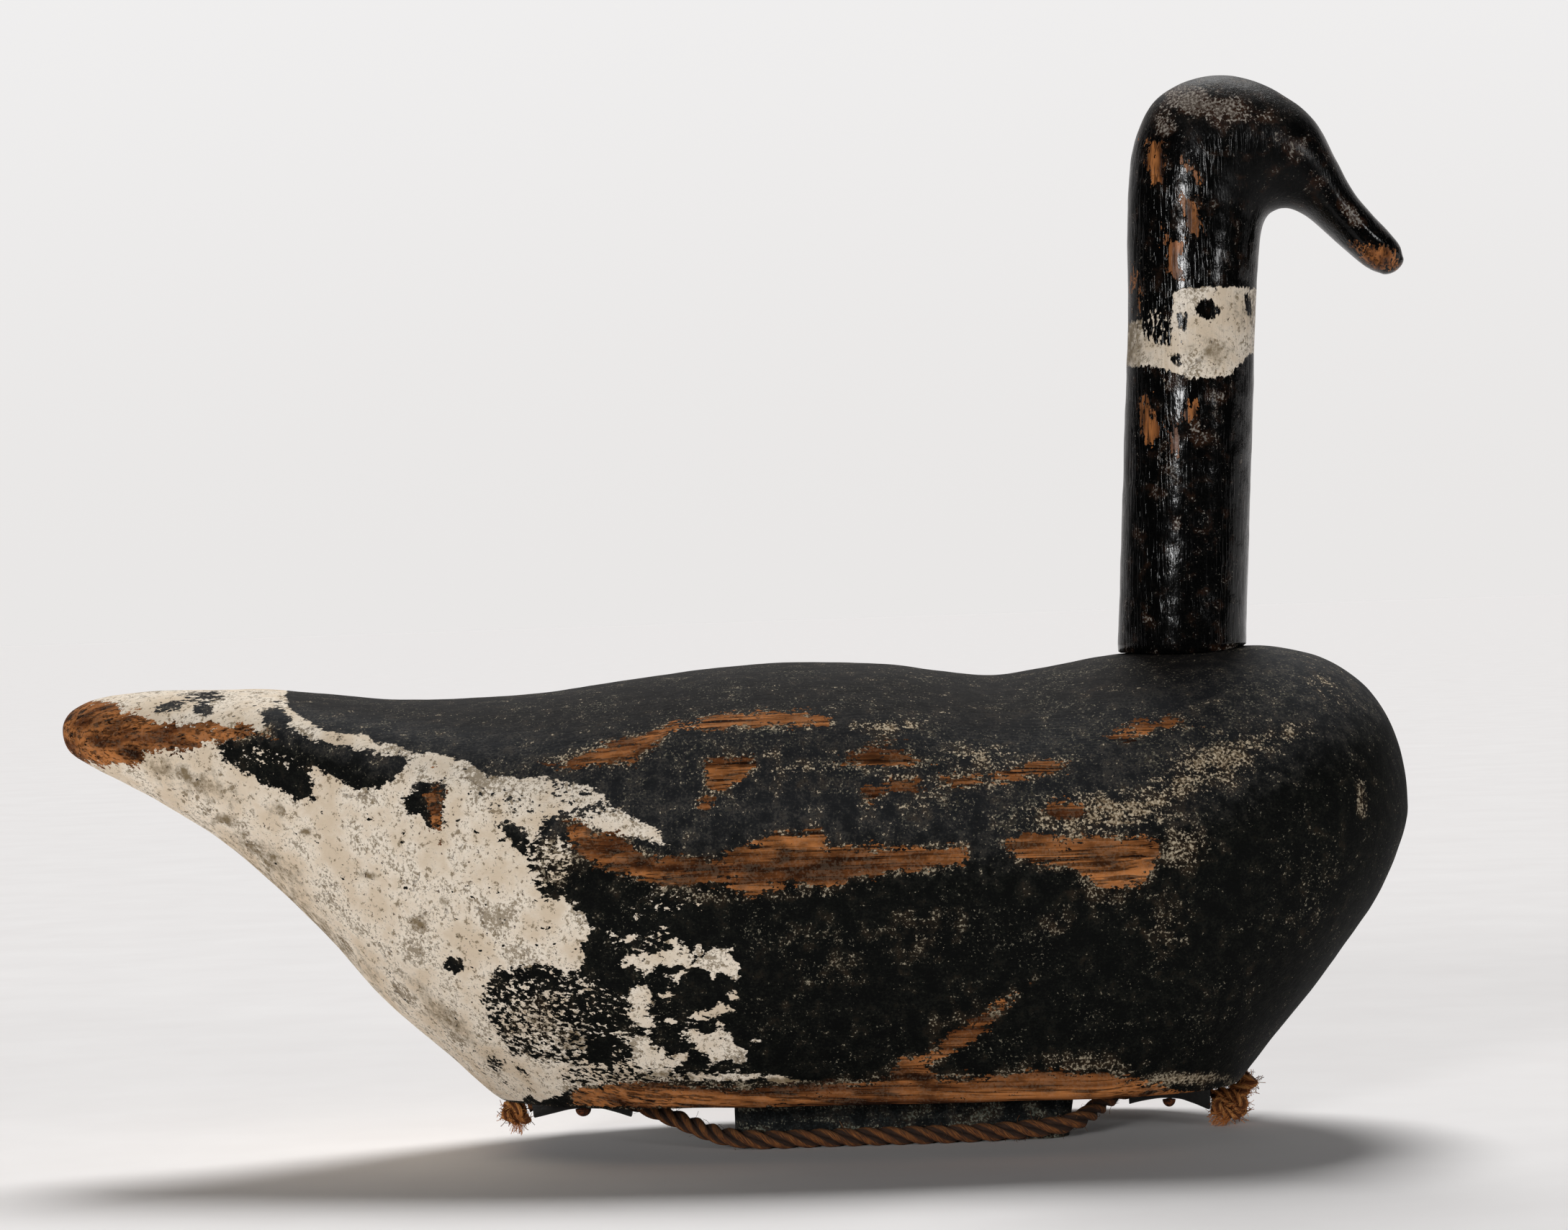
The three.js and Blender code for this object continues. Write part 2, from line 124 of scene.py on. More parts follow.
def total(tree: Tree, *terms: tuple, start: Socket | float = 0.0) -> Socket:
    """Adds up products.

    Args:
        tree: the node tree.
        *terms: each a value and its weight, either of which may be a socket.
        start: what the products are added to.

    Returns:
        The sum's socket.
    """
    for value, weight in terms:
        start = add(tree, MATH, (value, weight, start), operation="MULTIPLY_ADD")
    return start


def sized(place: Socket, size: float, detail: float = 3, rough: float = 0.6) -> dict:
    """Gives the inputs of a noise about 0.5 whose features measure size millimetres."""
    return {"Vector": place, "Scale": per_metre(size), "Detail": detail, "Roughness": rough}


def per_metre(size_mm: float) -> float:
    """Gives the texture scale whose features measure size_mm."""
    return 1 / (size_mm * MM)


def signed_power(values: np.ndarray, power: float | np.ndarray) -> np.ndarray:
    """Raises magnitudes to a power and keeps their signs."""
    return np.sign(values) * np.abs(values) ** power


def smooth_step(values: np.ndarray, low: float, high: float) -> np.ndarray:
    """Goes from 0 at low to 1 at high with level ends."""
    t = np.clip((values - low) / (high - low), 0, 1)
    return t * t * (3 - 2 * t)


def curve_through(points: Points, at: np.ndarray) -> np.ndarray:
    """Follows a smooth curve through points with no overshoot.

    Args:
        points: places and their values, in order.
        at: the places to read.

    Returns:
        The curve's values there.
    """
    place, value = np.array(points, float).T
    at = np.asarray(at, float)
    span = np.diff(place)
    rise = np.diff(value) / span
    before, after = rise[:-1], rise[1:]
    same_way = before * after > 0
    inner = np.where(same_way, 2 * before * after / np.where(same_way, before + after, 1), 0)
    slopes = np.concatenate([rise[:1], inner, rise[-1:]])
    i = np.clip(np.searchsorted(place, at, side="left") - 1, 0, len(place) - 2)
    t = np.clip((at - place[i]) / span[i], 0, 1)
    bend = t * t * (3 - 2 * t)
    leaving = slopes[i] * t * (1 - t) ** 2
    arriving = slopes[i + 1] * t * t * (t - 1)
    return value[i] + (value[i + 1] - value[i]) * bend + span[i] * (leaving + arriving)


def round_ended(points: Points, share: np.ndarray) -> np.ndarray:
    """Reads a curve whose ends are round, because its shares become shares of a half turn."""
    turned = tuple((math.acos(1 - 2 * s) / math.pi, v) for s, v in points)
    return curve_through(turned, np.arccos(1 - 2 * np.clip(share, 0, 1)) / math.pi)


def flowing_curve(points: np.ndarray, steps: int) -> np.ndarray:
    """Follows a centripetal Catmull-Rom curve through points in space.

    Args:
        points: one point in each row.
        steps: the number of equal steps of its parameter.

    Returns:
        steps + 1 points on the curve.
    """
    points = np.asarray(points, float)
    led = np.vstack([2 * points[0] - points[1], points, 2 * points[-1] - points[-2]])
    at = np.linspace(0, len(points) - 1, steps + 1)
    i = np.minimum(at.astype(int), len(points) - 2)
    t = (at - i)[:, None]
    p0, p1, p2, p3 = (led[i + k] for k in range(4))
    d0, d1, d2 = (
        np.maximum(np.linalg.norm(b - a, axis=1), 1e-9)[:, None] ** 0.5
        for a, b in ((p0, p1), (p1, p2), (p2, p3))
    )
    leave = ((p1 - p0) / d0 - (p2 - p0) / (d0 + d1) + (p2 - p1) / d1) * d1
    arrive = ((p2 - p1) / d1 - (p3 - p1) / (d1 + d2) + (p3 - p2) / d2) * d1
    cubic = 2 * p1 - 2 * p2 + leave + arrive
    square = 3 * p2 - 3 * p1 - 2 * leave - arrive
    return p1 + t * (leave + t * (square + t * cubic))


def show(name: str, data: bpy.types.ID) -> Object:
    """Puts data into the scene as an object at the origin.

    Args:
        name: the object's name.
        data: its mesh, curve, camera or light.

    Returns:
        The new object.
    """
    shown = bpy.data.objects.new(name, data)
    bpy.context.scene.collection.objects.link(shown)
    return shown


def make_piece(name: str, points: np.ndarray, faces: list, material: Material) -> Object:
    """Makes a smooth-shaded mesh object at the origin.

    Args:
        name: the piece's name.
        points: vertices in millimetres, one in each row.
        faces: vertex numbers of each face.
        material: the piece's finish.

    Returns:
        The new object.
    """
    mesh = bpy.data.meshes.new(name)
    mesh.from_pydata((np.asarray(points) * MM).tolist(), [], faces)
    mesh.polygons.foreach_set("use_smooth", [True] * len(mesh.polygons))
    mesh.materials.append(material)
    return show(name, mesh)


def tag(piece: Object, fields: tuple) -> None:
    """Stores the paint fields of a piece.

    Args:
        piece: the painted object.
        fields: one number for each vertex, or for all, in the order of the layers.
    """
    for layer, values in zip(Layer, fields, strict=True):
        attribute = piece.data.attributes.new(layer.value, "FLOAT", "POINT")
        values = np.broadcast_to(np.asarray(values, np.float32), len(attribute.data))
        attribute.data.foreach_set("value", np.ascontiguousarray(values))


def skin_faces(rings: int, around: int, first: int | None, last: int | None) -> list:
    """Joins rings of equal count into a skin, with an optional point at each end.

    Args:
        rings: the number of rings, whose vertices are numbered from 0.
        around: the vertices in a ring.
        first: number of the vertex that closes the first ring.
        last: number of the vertex that closes the last ring.

    Returns:
        The faces, which point outwards when the rings run clockwise seen along their order.
    """
    ring = np.arange(around)
    after = (ring + 1) % around
    starts = (np.arange(rings - 1) * around)[:, None]
    quads = np.stack(
        [starts + ring, starts + after, starts + around + after, starts + around + ring], axis=-1
    )
    faces = quads.reshape(-1, 4).tolist()
    end = (rings - 1) * around
    if first is not None:
        faces += np.stack([np.full(around, first), after, ring], axis=-1).tolist()
    if last is not None:
        faces += np.stack([np.full(around, last), end + ring, end + after], axis=-1).tolist()
    return faces


def roughen(piece: Object, size: float, depth: float, seed: float) -> None:
    """Moves a surface in and out by soft noise, as a rasp and a knife leave it.

    Args:
        piece: the mesh object.
        size: width of the hollows in millimetres.
        depth: how far they go in, in millimetres.
        seed: offset of the noise.
    """
    mesh = piece.data
    count = len(mesh.vertices)
    points = np.empty(count * 3, np.float32)
    normals = np.empty(count * 3, np.float32)
    mesh.vertices.foreach_get("co", points)
    mesh.vertex_normals.foreach_get("vector", normals)
    points = points.reshape(-1, 3)
    at = points / (size * MM) + seed
    move = np.array([noise.noise(Vector(p)) for p in at.tolist()])
    points += normals.reshape(-1, 3) * (move * depth * MM)[:, None]
    mesh.vertices.foreach_set("co", points.ravel())
    mesh.update()


@dataclass(frozen=True)
class Outline:
    """A patch of paint or wear seen from the side, by its corners in millimetres."""

    corners: Points

    def depth(self, x: np.ndarray, z: np.ndarray) -> np.ndarray:
        """Gives how far inside the patch each place is, negative outside.

        Args:
            x: places along the goose.
            z: heights.

        Returns:
            Distances in millimetres.
        """
        nearest = np.full(x.shape, np.inf)
        inside = np.zeros(x.shape, bool)
        ends = self.corners[1:] + self.corners[:1]
        for (ax, az), (bx, bz) in zip(self.corners, ends):
            ex, ez = bx - ax, bz - az
            t = np.clip(((x - ax) * ex + (z - az) * ez) / (ex * ex + ez * ez), 0, 1)
            nearest = np.minimum(nearest, np.hypot(x - ax - t * ex, z - az - t * ez))
            if az != bz:
                crosses = (az > z) != (bz > z)
                inside ^= crosses & (x < ex * (z - az) / ez + ax)
        return np.where(inside, nearest, -nearest)


@dataclass(frozen=True)
class Oval:
    """An oval patch seen from the side, in millimetres; lean lifts its breast end, in degrees."""

    x: float
    z: float
    half_length: float
    half_height: float
    lean: float = 0.0
    strength: float = 1.0

    def reach(self, x: np.ndarray, z: np.ndarray) -> np.ndarray:
        """Gives how far from the middle of the patch each place is.

        Args:
            x: places along the goose.
            z: heights.

        Returns:
            0 at the middle and 1 at the edge.
        """
        turn = math.radians(self.lean)
        along = (x - self.x) * math.cos(turn) + (z - self.z) * math.sin(turn)
        across = (z - self.z) * math.cos(turn) - (x - self.x) * math.sin(turn)
        return np.hypot(along / self.half_length, across / self.half_height)

    def depth(self, x: np.ndarray, z: np.ndarray) -> np.ndarray:
        """Gives about how far inside the patch each place is, in millimetres."""
        return (1 - self.reach(x, z)) * min(self.half_length, self.half_height)

    def cover(self, x: np.ndarray, z: np.ndarray) -> np.ndarray:
        """Gives 1 in the middle of the patch and fades to 0 past its edge."""
        return np.exp(-1.1 * self.reach(x, z) ** 1.9)

    def cloud(self, x: np.ndarray, z: np.ndarray) -> np.ndarray:
        """Gives the patch as a soft cloud of its strength."""
        return self.strength * self.cover(x, z)


def patches(outlines: tuple = (), ovals: tuple = ()) -> list:
    """Makes patches from the corners of outlines and the measures of ovals."""
    return [*map(Outline, outlines), *(Oval(*measures) for measures in ovals)]


def deepest(marks: list, x: np.ndarray, z: np.ndarray) -> np.ndarray:
    """Gives how far inside the union of the patches each place is."""
    return np.max([mark.depth(x, z) for mark in marks], axis=0)


def clouds(marks: list, x: np.ndarray, z: np.ndarray) -> np.ndarray:
    """Gives the strongest of the soft patches at each place."""
    return np.max([mark.cloud(x, z) for mark in marks], axis=0)


@dataclass(frozen=True)
class Coat:
    """A coat of cream paint on black: its outlines, and where its edges have flaked."""

    main: Outline
    islands: list
    chips: list
    mottled: list
    ragged: list
    reach: float = 3.6
    firm_reach: float = 30.0
    hole_rim: float = 3.0

    def fields(self, x: np.ndarray, z: np.ndarray) -> tuple[np.ndarray, np.ndarray, np.ndarray]:
        """Lays the coat out in a side view.

        Args:
            x: places along the goose.
            z: heights.

        Returns:
            How far inside the coat each place is, in millimetres, and how much its edge wanders
            and is speckled there.
        """
        depth = deepest([self.main, *self.islands], x, z)
        holes = deepest(self.chips, x, z)
        depth = np.minimum(depth, -holes)
        torn = clouds(self.ragged, x, z)
        limit = self.reach + self.firm_reach * (1 - torn)
        depth = np.clip(depth, -limit, limit)
        by_hole = np.exp(-np.maximum(-holes, 0) / self.hole_rim)
        wander = np.maximum(0.35 + 0.55 * torn, 0.5 * by_hole)
        broken = np.maximum(0.25 + 0.5 * torn, 0.6 * by_hole)
        for patch in self.mottled:
            weight = np.clip(1.4 * patch.cover(x, z), 0, 1)
            depth = depth + (patch.strength - depth) * weight
            wander = wander * (1 - 0.65 * weight)
            broken = np.maximum(broken, 1.1 * weight)
        return depth, wander, broken


class Layer(Enum):
    """The vertex fields that a painted piece carries."""

    CREAM = "cream"
    BARE = "bare"
    WANDER = "wander"
    SPECKLE = "speckle"
    WORN = "worn"
    GRIME = "grime"
    UPPER = "upper"


@dataclass(frozen=True)
class Camera:
    """The camera: level, far off, and turned by the angle at which the decoy leans in the photo."""

    lens: float = 99.17
    sensor: float = 36.0
    x: float = -47.2
    distance: float = 1967.2
    height: float = 238.4
    roll: float = 1.9

    def build(self) -> Object:
        """Makes the scene's camera, looking along +Y.

        Returns:
            The camera object.
        """
        data = bpy.data.cameras.new("camera")
        data.lens = self.lens
        data.sensor_width = self.sensor
        camera = show("camera", data)
        turn = math.radians(self.roll)
        right = Vector((math.cos(turn), 0, -math.sin(turn)))
        up = Vector((math.sin(turn), 0, math.cos(turn)))
        turned = Matrix((right, up, right.cross(up))).transposed()
        place = Vector((self.x, -self.distance, self.height)) * MM
        camera.matrix_world = Matrix.Translation(place) @ turned.to_4x4()
        bpy.context.scene.camera = camera
        return camera

    def side_view(self, points: np.ndarray) -> tuple[np.ndarray, np.ndarray]:
        """Projects points onto the middle plane from the camera, with the far side mirrored.

        Args:
            points: places in millimetres, one in each row.

        Returns:
            Their places along the goose and their heights, as they show in a side view.
        """
        scale = self.distance / (self.distance - np.abs(points[:, 1]))
        along = self.x + (points[:, 0] - self.x) * scale
        height = self.height + (points[:, 2] - self.height) * scale
        return along, height


CAMERA = Camera()


@dataclass(frozen=True)
class SunLight:
    """A broad soft light: compass angle from the camera, elevation, strength and spread."""

    name: str
    azimuth: float
    elevation: float
    strength: float
    spread: float
    colour: str = "#ffffff"

    def build(self) -> None:
        """Adds the light to the scene."""
        data = bpy.data.lights.new(self.name, "SUN")
        data.energy = self.strength
        data.angle = math.radians(self.spread)
        data.color = linear(self.colour)[:3]
        lamp = show(self.name, data)
        side, rise = math.radians(self.azimuth), math.radians(self.elevation)
        towards = Vector(
            (math.sin(side) * math.cos(rise), -math.cos(side) * math.cos(rise), math.sin(rise))
        )
        lamp.rotation_euler = towards.to_track_quat("Z", "Y").to_euler()


@dataclass
class Studio:
    """A pale floor that runs on to a pale distance, low light in front and high light behind.

    The floor ends short of the camera and the surroundings are dark on that side, as a studio is,
    so glossy black paint stays black.
    """

    floor_reach: float = 400.0
    floor_front: float = 0.42
    floor_mottle: float = 90.0
    floor_colour: str = "#f2f0ef"
    floor_shade: str = "#e8e5e4"
    haze_colour: str = "#e9e7e6"
    sky_colour: str = "#f1f0f0"
    dark_side: str = "#2e2e2f"
    pale_side: str = "#c9c6c5"
    lights: tuple = (
        SunLight("low_key_light", -24, 10, 1.45, 10),
        SunLight("low_second_light", 42, 9, 0.5, 10),
        SunLight("high_rear_light", 176, 57, 2.75, 24),
    )

    def build(self) -> None:
        """Makes the floor, the sky and the lights."""
        half = self.floor_reach / 2 / MM
        near = -self.floor_front / MM
        corners = np.array([[-half, near, 0], [half, near, 0], [half, half, 0], [-half, half, 0]])
        floor = make_piece("studio_floor", corners, [(0, 1, 2, 3)], self.paper())
        self.sky()
        for light in self.lights:
            light.build()
        bpy.context.scene.view_settings.view_transform = "Standard"

    def paper(self) -> Material:
        """Makes the floor's matt paper, whose faint mottling keeps it from looking flat.

        Returns:
            The material.
        """
        material, tree = new_material("studio_paper")
        place = add(tree, "ShaderNodeTexCoord", out="Object")
        mottle = add(tree, NOISE, sized(place, self.floor_mottle))
        colour = add(tree, MIX, (mottle, self.floor_shade, self.floor_colour))
        close(tree, {"Base Color": colour, "Roughness": 0.9})
        return material

    def sky(self) -> None:
        """Makes the surroundings: dark towards the camera, pale behind, and pale to look at."""
        world = bpy.data.worlds.new("studio_sky")
        world.use_nodes = True
        tree = world.node_tree
        tree.nodes.clear()
        ray = add(tree, "ShaderNodeTexCoord", out="Generated")
        parts = add(tree, "ShaderNodeSeparateXYZ", {"Vector": ray}).node.outputs
        high = add(tree, RANGE, (parts["Z"], 0, 0.2))
        seen = add(tree, MIX, (high, self.haze_colour, self.sky_colour))
        behind = add(tree, RANGE, (parts["Y"], 0.3, 1.0))
        light = add(tree, MIX, (behind, self.dark_side, self.pale_side))
        looking = add(tree, "ShaderNodeLightPath", out="Is Camera Ray")
        glow = add(tree, "ShaderNodeBackground", {"Color": add(tree, MIX, (looking, light, seen))})
        add(tree, "ShaderNodeOutputWorld", {"Surface": glow})
        bpy.context.scene.world = world


def new_material(name: str) -> tuple[Material, Tree]:
    """Starts an empty node material.

    Args:
        name: the finish's name.

    Returns:
        The material and its tree.
    """
    material = bpy.data.materials.new(name)
    material.use_nodes = True
    material.node_tree.nodes.clear()
    return material, material.node_tree


def close(tree: Tree, inputs: dict) -> None:
    """Ends a material with its surface shader and output."""
    surface = add(tree, "ShaderNodeBsdfPrincipled", inputs)
    add(tree, "ShaderNodeOutputMaterial", {"Surface": surface})


@dataclass(frozen=True)
class PaintedWood:
    """Old oil paint brushed on carved softwood.

    Thin black lies on the wood and a thicker cream coat on the black. Both have flaked, so the
    eye reads three levels with sharp broken edges: chalky cream, dusty black and grainy wood.
    Colours come in pairs, darker first, and the patterns' sizes are in millimetres.
    """

    name: str
    grain: tuple[float, float, float] = (0.024, 1.0, 1.0)
    lie: tuple[float, float, float] = (0.55, 1.0, 1.0)
    # On the body the black steps from flank to side to back colours going up; the lighter steps are
    # painted light and sheen from above, over dull worn paint on the back.
    flank: tuple[str, str] = ("#050605", "#151612")
    side: tuple[str, str] = ("#232426", "#413f3c")
    back: tuple[str, str] = ("#161413", "#282522")
    dust: tuple[str, str] = ("#7c6a52", "#d2c2a8")
    haze: str = "#33271b"
    pepper: tuple[str, str] = ("#35332b", "#878170")
    cream: tuple[str, str] = ("#e3d0b7", "#fcf0df")
    stain: str = "#85745a"
    speck: str = "#54463a"
    wood: tuple[str, str] = ("#63391e", "#bf7b46")
    wood_line: str = "#251207"
    satin: float = 0.7
    gloss: float = 0.1
    peel: float = 0.04
    dents: float = 0.12
    crown: float = 0.08
    swell: float = 0.35
    sheltered: float = 0.0
    flake: float = 8.0
    chip: float = 1.6
    grit: float = 1.15
    streak: float = 2.4
    pock: float = 3.4
    brush_hair: float = 0.7
    fine_grain: float = 1.6
    bold_grain: float = 4.2
    grain_band: float = 9.0
    patch: float = 7.0
    dust_grain: float = 1.1
    zone: float = 26.0
    cloud: float = 20.0
    blotch: float = 5.0
    freckle: float = 1.5
    crack_cell: float = 42.0
    crack_swing: float = 12.0
    crack_sway: float = 14.0

    def material(self) -> Material:
        """Builds the finish from the piece's paint fields.

        Returns:
            The material.
        """
        material, tree = new_material(self.name)
        place = add(tree, "ShaderNodeTexCoord", out="Object")
        along = add(tree, "ShaderNodeMapping", {"Vector": place, "Scale": self.grain})
        field = {
            layer: add(tree, "ShaderNodeAttribute", out="Fac", attribute_name=layer.value)
            for layer in Layer
        }
        lying = add(tree, "ShaderNodeMapping", {"Vector": place, "Scale": self.lie})
        flakes = add(tree, NOISE, sized(lying, self.flake, 4))
        chips = add(tree, NOISE, sized(lying, self.chip, 2.5))
        grit = add(tree, NOISE, sized(place, self.grit, 2))
        streaks = add(tree, NOISE, sized(along, self.streak, 4))
        torn = ((flakes, 18.0, field[Layer.WANDER]), (chips, 15.0, field[Layer.SPECKLE]))
        cream = self.mask(tree, field[Layer.CREAM], torn)
        split = ((flakes, 13.0, 1.0), (chips, 11.0, 1.0), (streaks, 7.0, 1.0), (grit, 5.0, 1.0))
        bare = self.mask(tree, field[Layer.BARE], split)
        dirt = total(tree, (flakes, 1.0), (field[Layer.GRIME], 1.0))
        wood, lines = self.bare_wood(tree, along, dirt)
        black, dusty = self.black(tree, place, field, chips, grit, streaks)
        wood = add(tree, MIX, (total(tree, (dusty, 0.06)), wood, self.dust[1]))
        pocks = add(tree, NOISE, sized(lying, self.pock))
        holes = total(tree, (field[Layer.SPECKLE], 0.05), start=pocks)
        pits = add(tree, RANGE, (holes, 0.7, 0.715))
        cream = add(tree, MATH, (cream, pits), operation="SUBTRACT", use_clamp=True)
        coat = add(tree, MIX, (cream, black, self.cream_coat(tree, place, field)))
        dull = total(tree, (bare, 0.2), (cream, 0.2), (dusty, 0.15), start=self.satin)
        matt = ((chips, 0.16), (field[Layer.UPPER], self.crown), (field[Layer.GRIME], 0.5))
        rough = total(tree, *matt, start=dull)
        hairs = add(tree, NOISE, sized(place, self.brush_hair, 2))
        heights = (
            (cream, 0.32), (bare, -0.14), (dusty, -0.04), (lines, -0.08), (flakes, self.swell),
            (chips, self.dents), (hairs, self.peel),
        )
        relief = {"Height": total(tree, *heights), "Strength": 1.0, "Distance": MM}
        surface = {
            "Normal": add(tree, "ShaderNodeBump", relief),
            "Base Color": add(tree, MIX, (bare, coat, wood)),
            "Roughness": rough,
            "Specular IOR Level": self.gloss,
        }
        close(tree, surface)
        return material

    def mask(self, tree: Tree, depth: Socket, parts: tuple) -> Socket:
        """Turns a depth in millimetres into a mask whose edge is broken by noises.

        Args:
            tree: the material's tree.
            depth: how far inside the coat a place is.
            parts: each noise, its reach in millimetres and its weight.

        Returns:
            The mask's socket.
        """
        for value, reach, weight in parts:
            moved = total(tree, (value, reach), start=-reach / 2)
            depth = total(tree, (moved, weight), start=depth)
        return add(tree, RANGE, (depth, -0.25, 0.25))

    def bare_wood(self, tree: Tree, along: Socket, dirt: Socket) -> tuple[Socket, Socket]:
        """Draws the bare wood, with fine and bold grain lines, and darkens it by dirt.

        Args:
            tree: the material's tree.
            along: places drawn out along the grain.
            dirt: how dirty a place is.

        Returns:
            The wood's colour and its grain lines.
        """
        fine = add(tree, NOISE, sized(along, self.fine_grain, 2, 0.7))
        fine = add(tree, RANGE, (fine, 0.5, 0.58))
        bold = add(tree, NOISE, sized(along, self.bold_grain))
        bold = add(tree, RANGE, (bold, 0.55, 0.58))
        bands = add(tree, NOISE, sized(along, self.grain_band))
        bands = add(tree, RANGE, (bands, 0.36, 0.64))
        tone = add(tree, MIX, (bands, *self.wood))
        line = total(tree, (fine, 0.75), (bold, 0.45))
        lined = add(tree, MIX, (line, tone, self.wood_line))
        dirty = add(tree, RANGE, (dirt, 0.48, 0.9))
        return add(tree, MIX, (dirty, lined, self.wood_line)), line

    def black(
        self, tree: Tree, place: Socket, field: dict, chips: Socket, grit: Socket, streaks: Socket
    ) -> tuple[Socket, Socket]:
        """Draws the black paint: dull grey with painted sheen above, black on the flank, dusty,
        rubbed.

        Args:
            tree: the material's tree.
            place: places on the object.
            field: the socket of each paint field.
            chips: fine noise that lies with the brush strokes.
            grit: fine noise that lies no way.
            streaks: noise drawn out along the grain.

        Returns:
            The paint's colour and the mask of the pale dust and rub marks on it.
        """
        broad = add(tree, NOISE, sized(place, self.patch, 5))
        fine = add(tree, NOISE, sized(place, self.dust_grain, 2, 0.7))
        both = total(tree, (broad, 0.5), (fine, 0.5))
        mottle = add(tree, RANGE, (both, 0.44, 0.6))
        # Painted light: the side and back colours make the black lighter going up, as painted sheen
        # from above over the dull worn paint of the back.
        low, side, back = (
            add(tree, MIX, (mottle, *pair)) for pair in (self.flank, self.side, self.back)
        )
        upper, worn = field[Layer.UPPER], field[Layer.WORN]
        above = add(tree, RANGE, (total(tree, (broad, 0.5), start=upper), 0.35, 0.8))
        paint = add(tree, MIX, (above, low, side))
        paint = add(tree, MIX, (add(tree, RANGE, (upper, 0.55, 0.95)), paint, back))
        rubbed = total(tree, (broad, 1.6), (worn, 1.0))
        browned = add(tree, RANGE, (rubbed, 1.02, 1.6))
        paint = add(tree, MIX, (total(tree, (browned, 0.85)), paint, self.haze))
        zones = add(tree, NOISE, sized(place, self.zone))
        spots = ((fine, 1.0), (zones, 0.45), (broad, 0.18), (streaks, 0.16), (worn, 0.12))
        level = total(tree, *spots, (above, 0.05), start=self.sheltered)
        pepper = add(tree, MIX, (add(tree, RANGE, (chips, 0.42, 0.6)), *self.pepper))
        peppered = add(tree, RANGE, (level, 1.09, 1.14, 0.0, 0.85))
        paint = add(tree, MIX, (peppered, paint, pepper))
        level = total(tree, (grit, 1.0), (broad, 0.7), (streaks, 0.5), (worn, 0.58))
        dusty = add(tree, RANGE, (level, 1.42, 1.5))
        # The dust is drawn paler up where the painted sheen lies, and where the paint is worn.
        pale = total(tree, (above, 0.6), (worn, 1.0))
        dust = add(tree, MIX, (add(tree, RANGE, (grit, 0.45, 0.7)), *self.dust))
        dust = add(tree, MIX, (pale, pepper, dust))
        return add(tree, MIX, (dusty, paint, dust)), dusty

    def cream_coat(self, tree: Tree, place: Socket, field: dict) -> Socket:
        """Draws the cream paint, with stains, pin specks and a few hairline cracks.

        Args:
            tree: the material's tree.
            place: places on the object.
            field: the socket of each paint field.

        Returns:
            The paint's colour.
        """
        cloud = add(tree, NOISE, sized(place, self.cloud, 4))
        coat = add(tree, MIX, (add(tree, RANGE, (cloud, 0.36, 0.62)), *self.cream))
        blotch = add(tree, NOISE, sized(place, self.blotch, 5, 0.7))
        blots = total(tree, (blotch, 1.0), (field[Layer.GRIME], 1.0))
        coat = add(tree, MIX, (add(tree, RANGE, (blots, 0.58, 0.95)), coat, self.stain))
        fine = add(tree, NOISE, sized(place, self.freckle, rough=0.75))
        fine = total(tree, (fine, 1.0), (cloud, 1.1))
        freckles = add(tree, RANGE, (fine, 1.1, 1.26, 0.0, 0.8))
        coat = add(tree, MIX, (freckles, coat, self.stain))
        for size, detail, rough, low, high, most, colour in (
            (3.4, 5, 0.75, 0.565, 0.62, 0.85, self.stain),
            (1.8, 3, 0.6, 0.65, 0.68, 0.9, self.speck),
        ):
            dots = add(tree, NOISE, sized(place, size, detail, rough))
            dotted = add(tree, RANGE, (dots, low, high, 0.0, most))
            coat = add(tree, MIX, (dotted, coat, colour))
        swing = {"Vector": place, "Scale": per_metre(self.crack_swing)}
        warp = add(tree, NOISE, swing, out="Color")
        sway = (self.crack_sway * MM,) * 3
        bent = add(tree, "ShaderNodeVectorMath", (warp, sway, place), operation="MULTIPLY_ADD")
        cells = {"Vector": bent, "Scale": per_metre(self.crack_cell)}
        crack = add(tree, "ShaderNodeTexVoronoi", cells, feature="DISTANCE_TO_EDGE")
        hair = add(tree, RANGE, (crack, 0.004, 0.009, 0.5, 0.0))
        dry = add(tree, RANGE, (cloud, 0.54, 0.58))
        shown = add(tree, MATH, (hair, dry), operation="MULTIPLY")
        return add(tree, MIX, (shown, coat, self.speck))


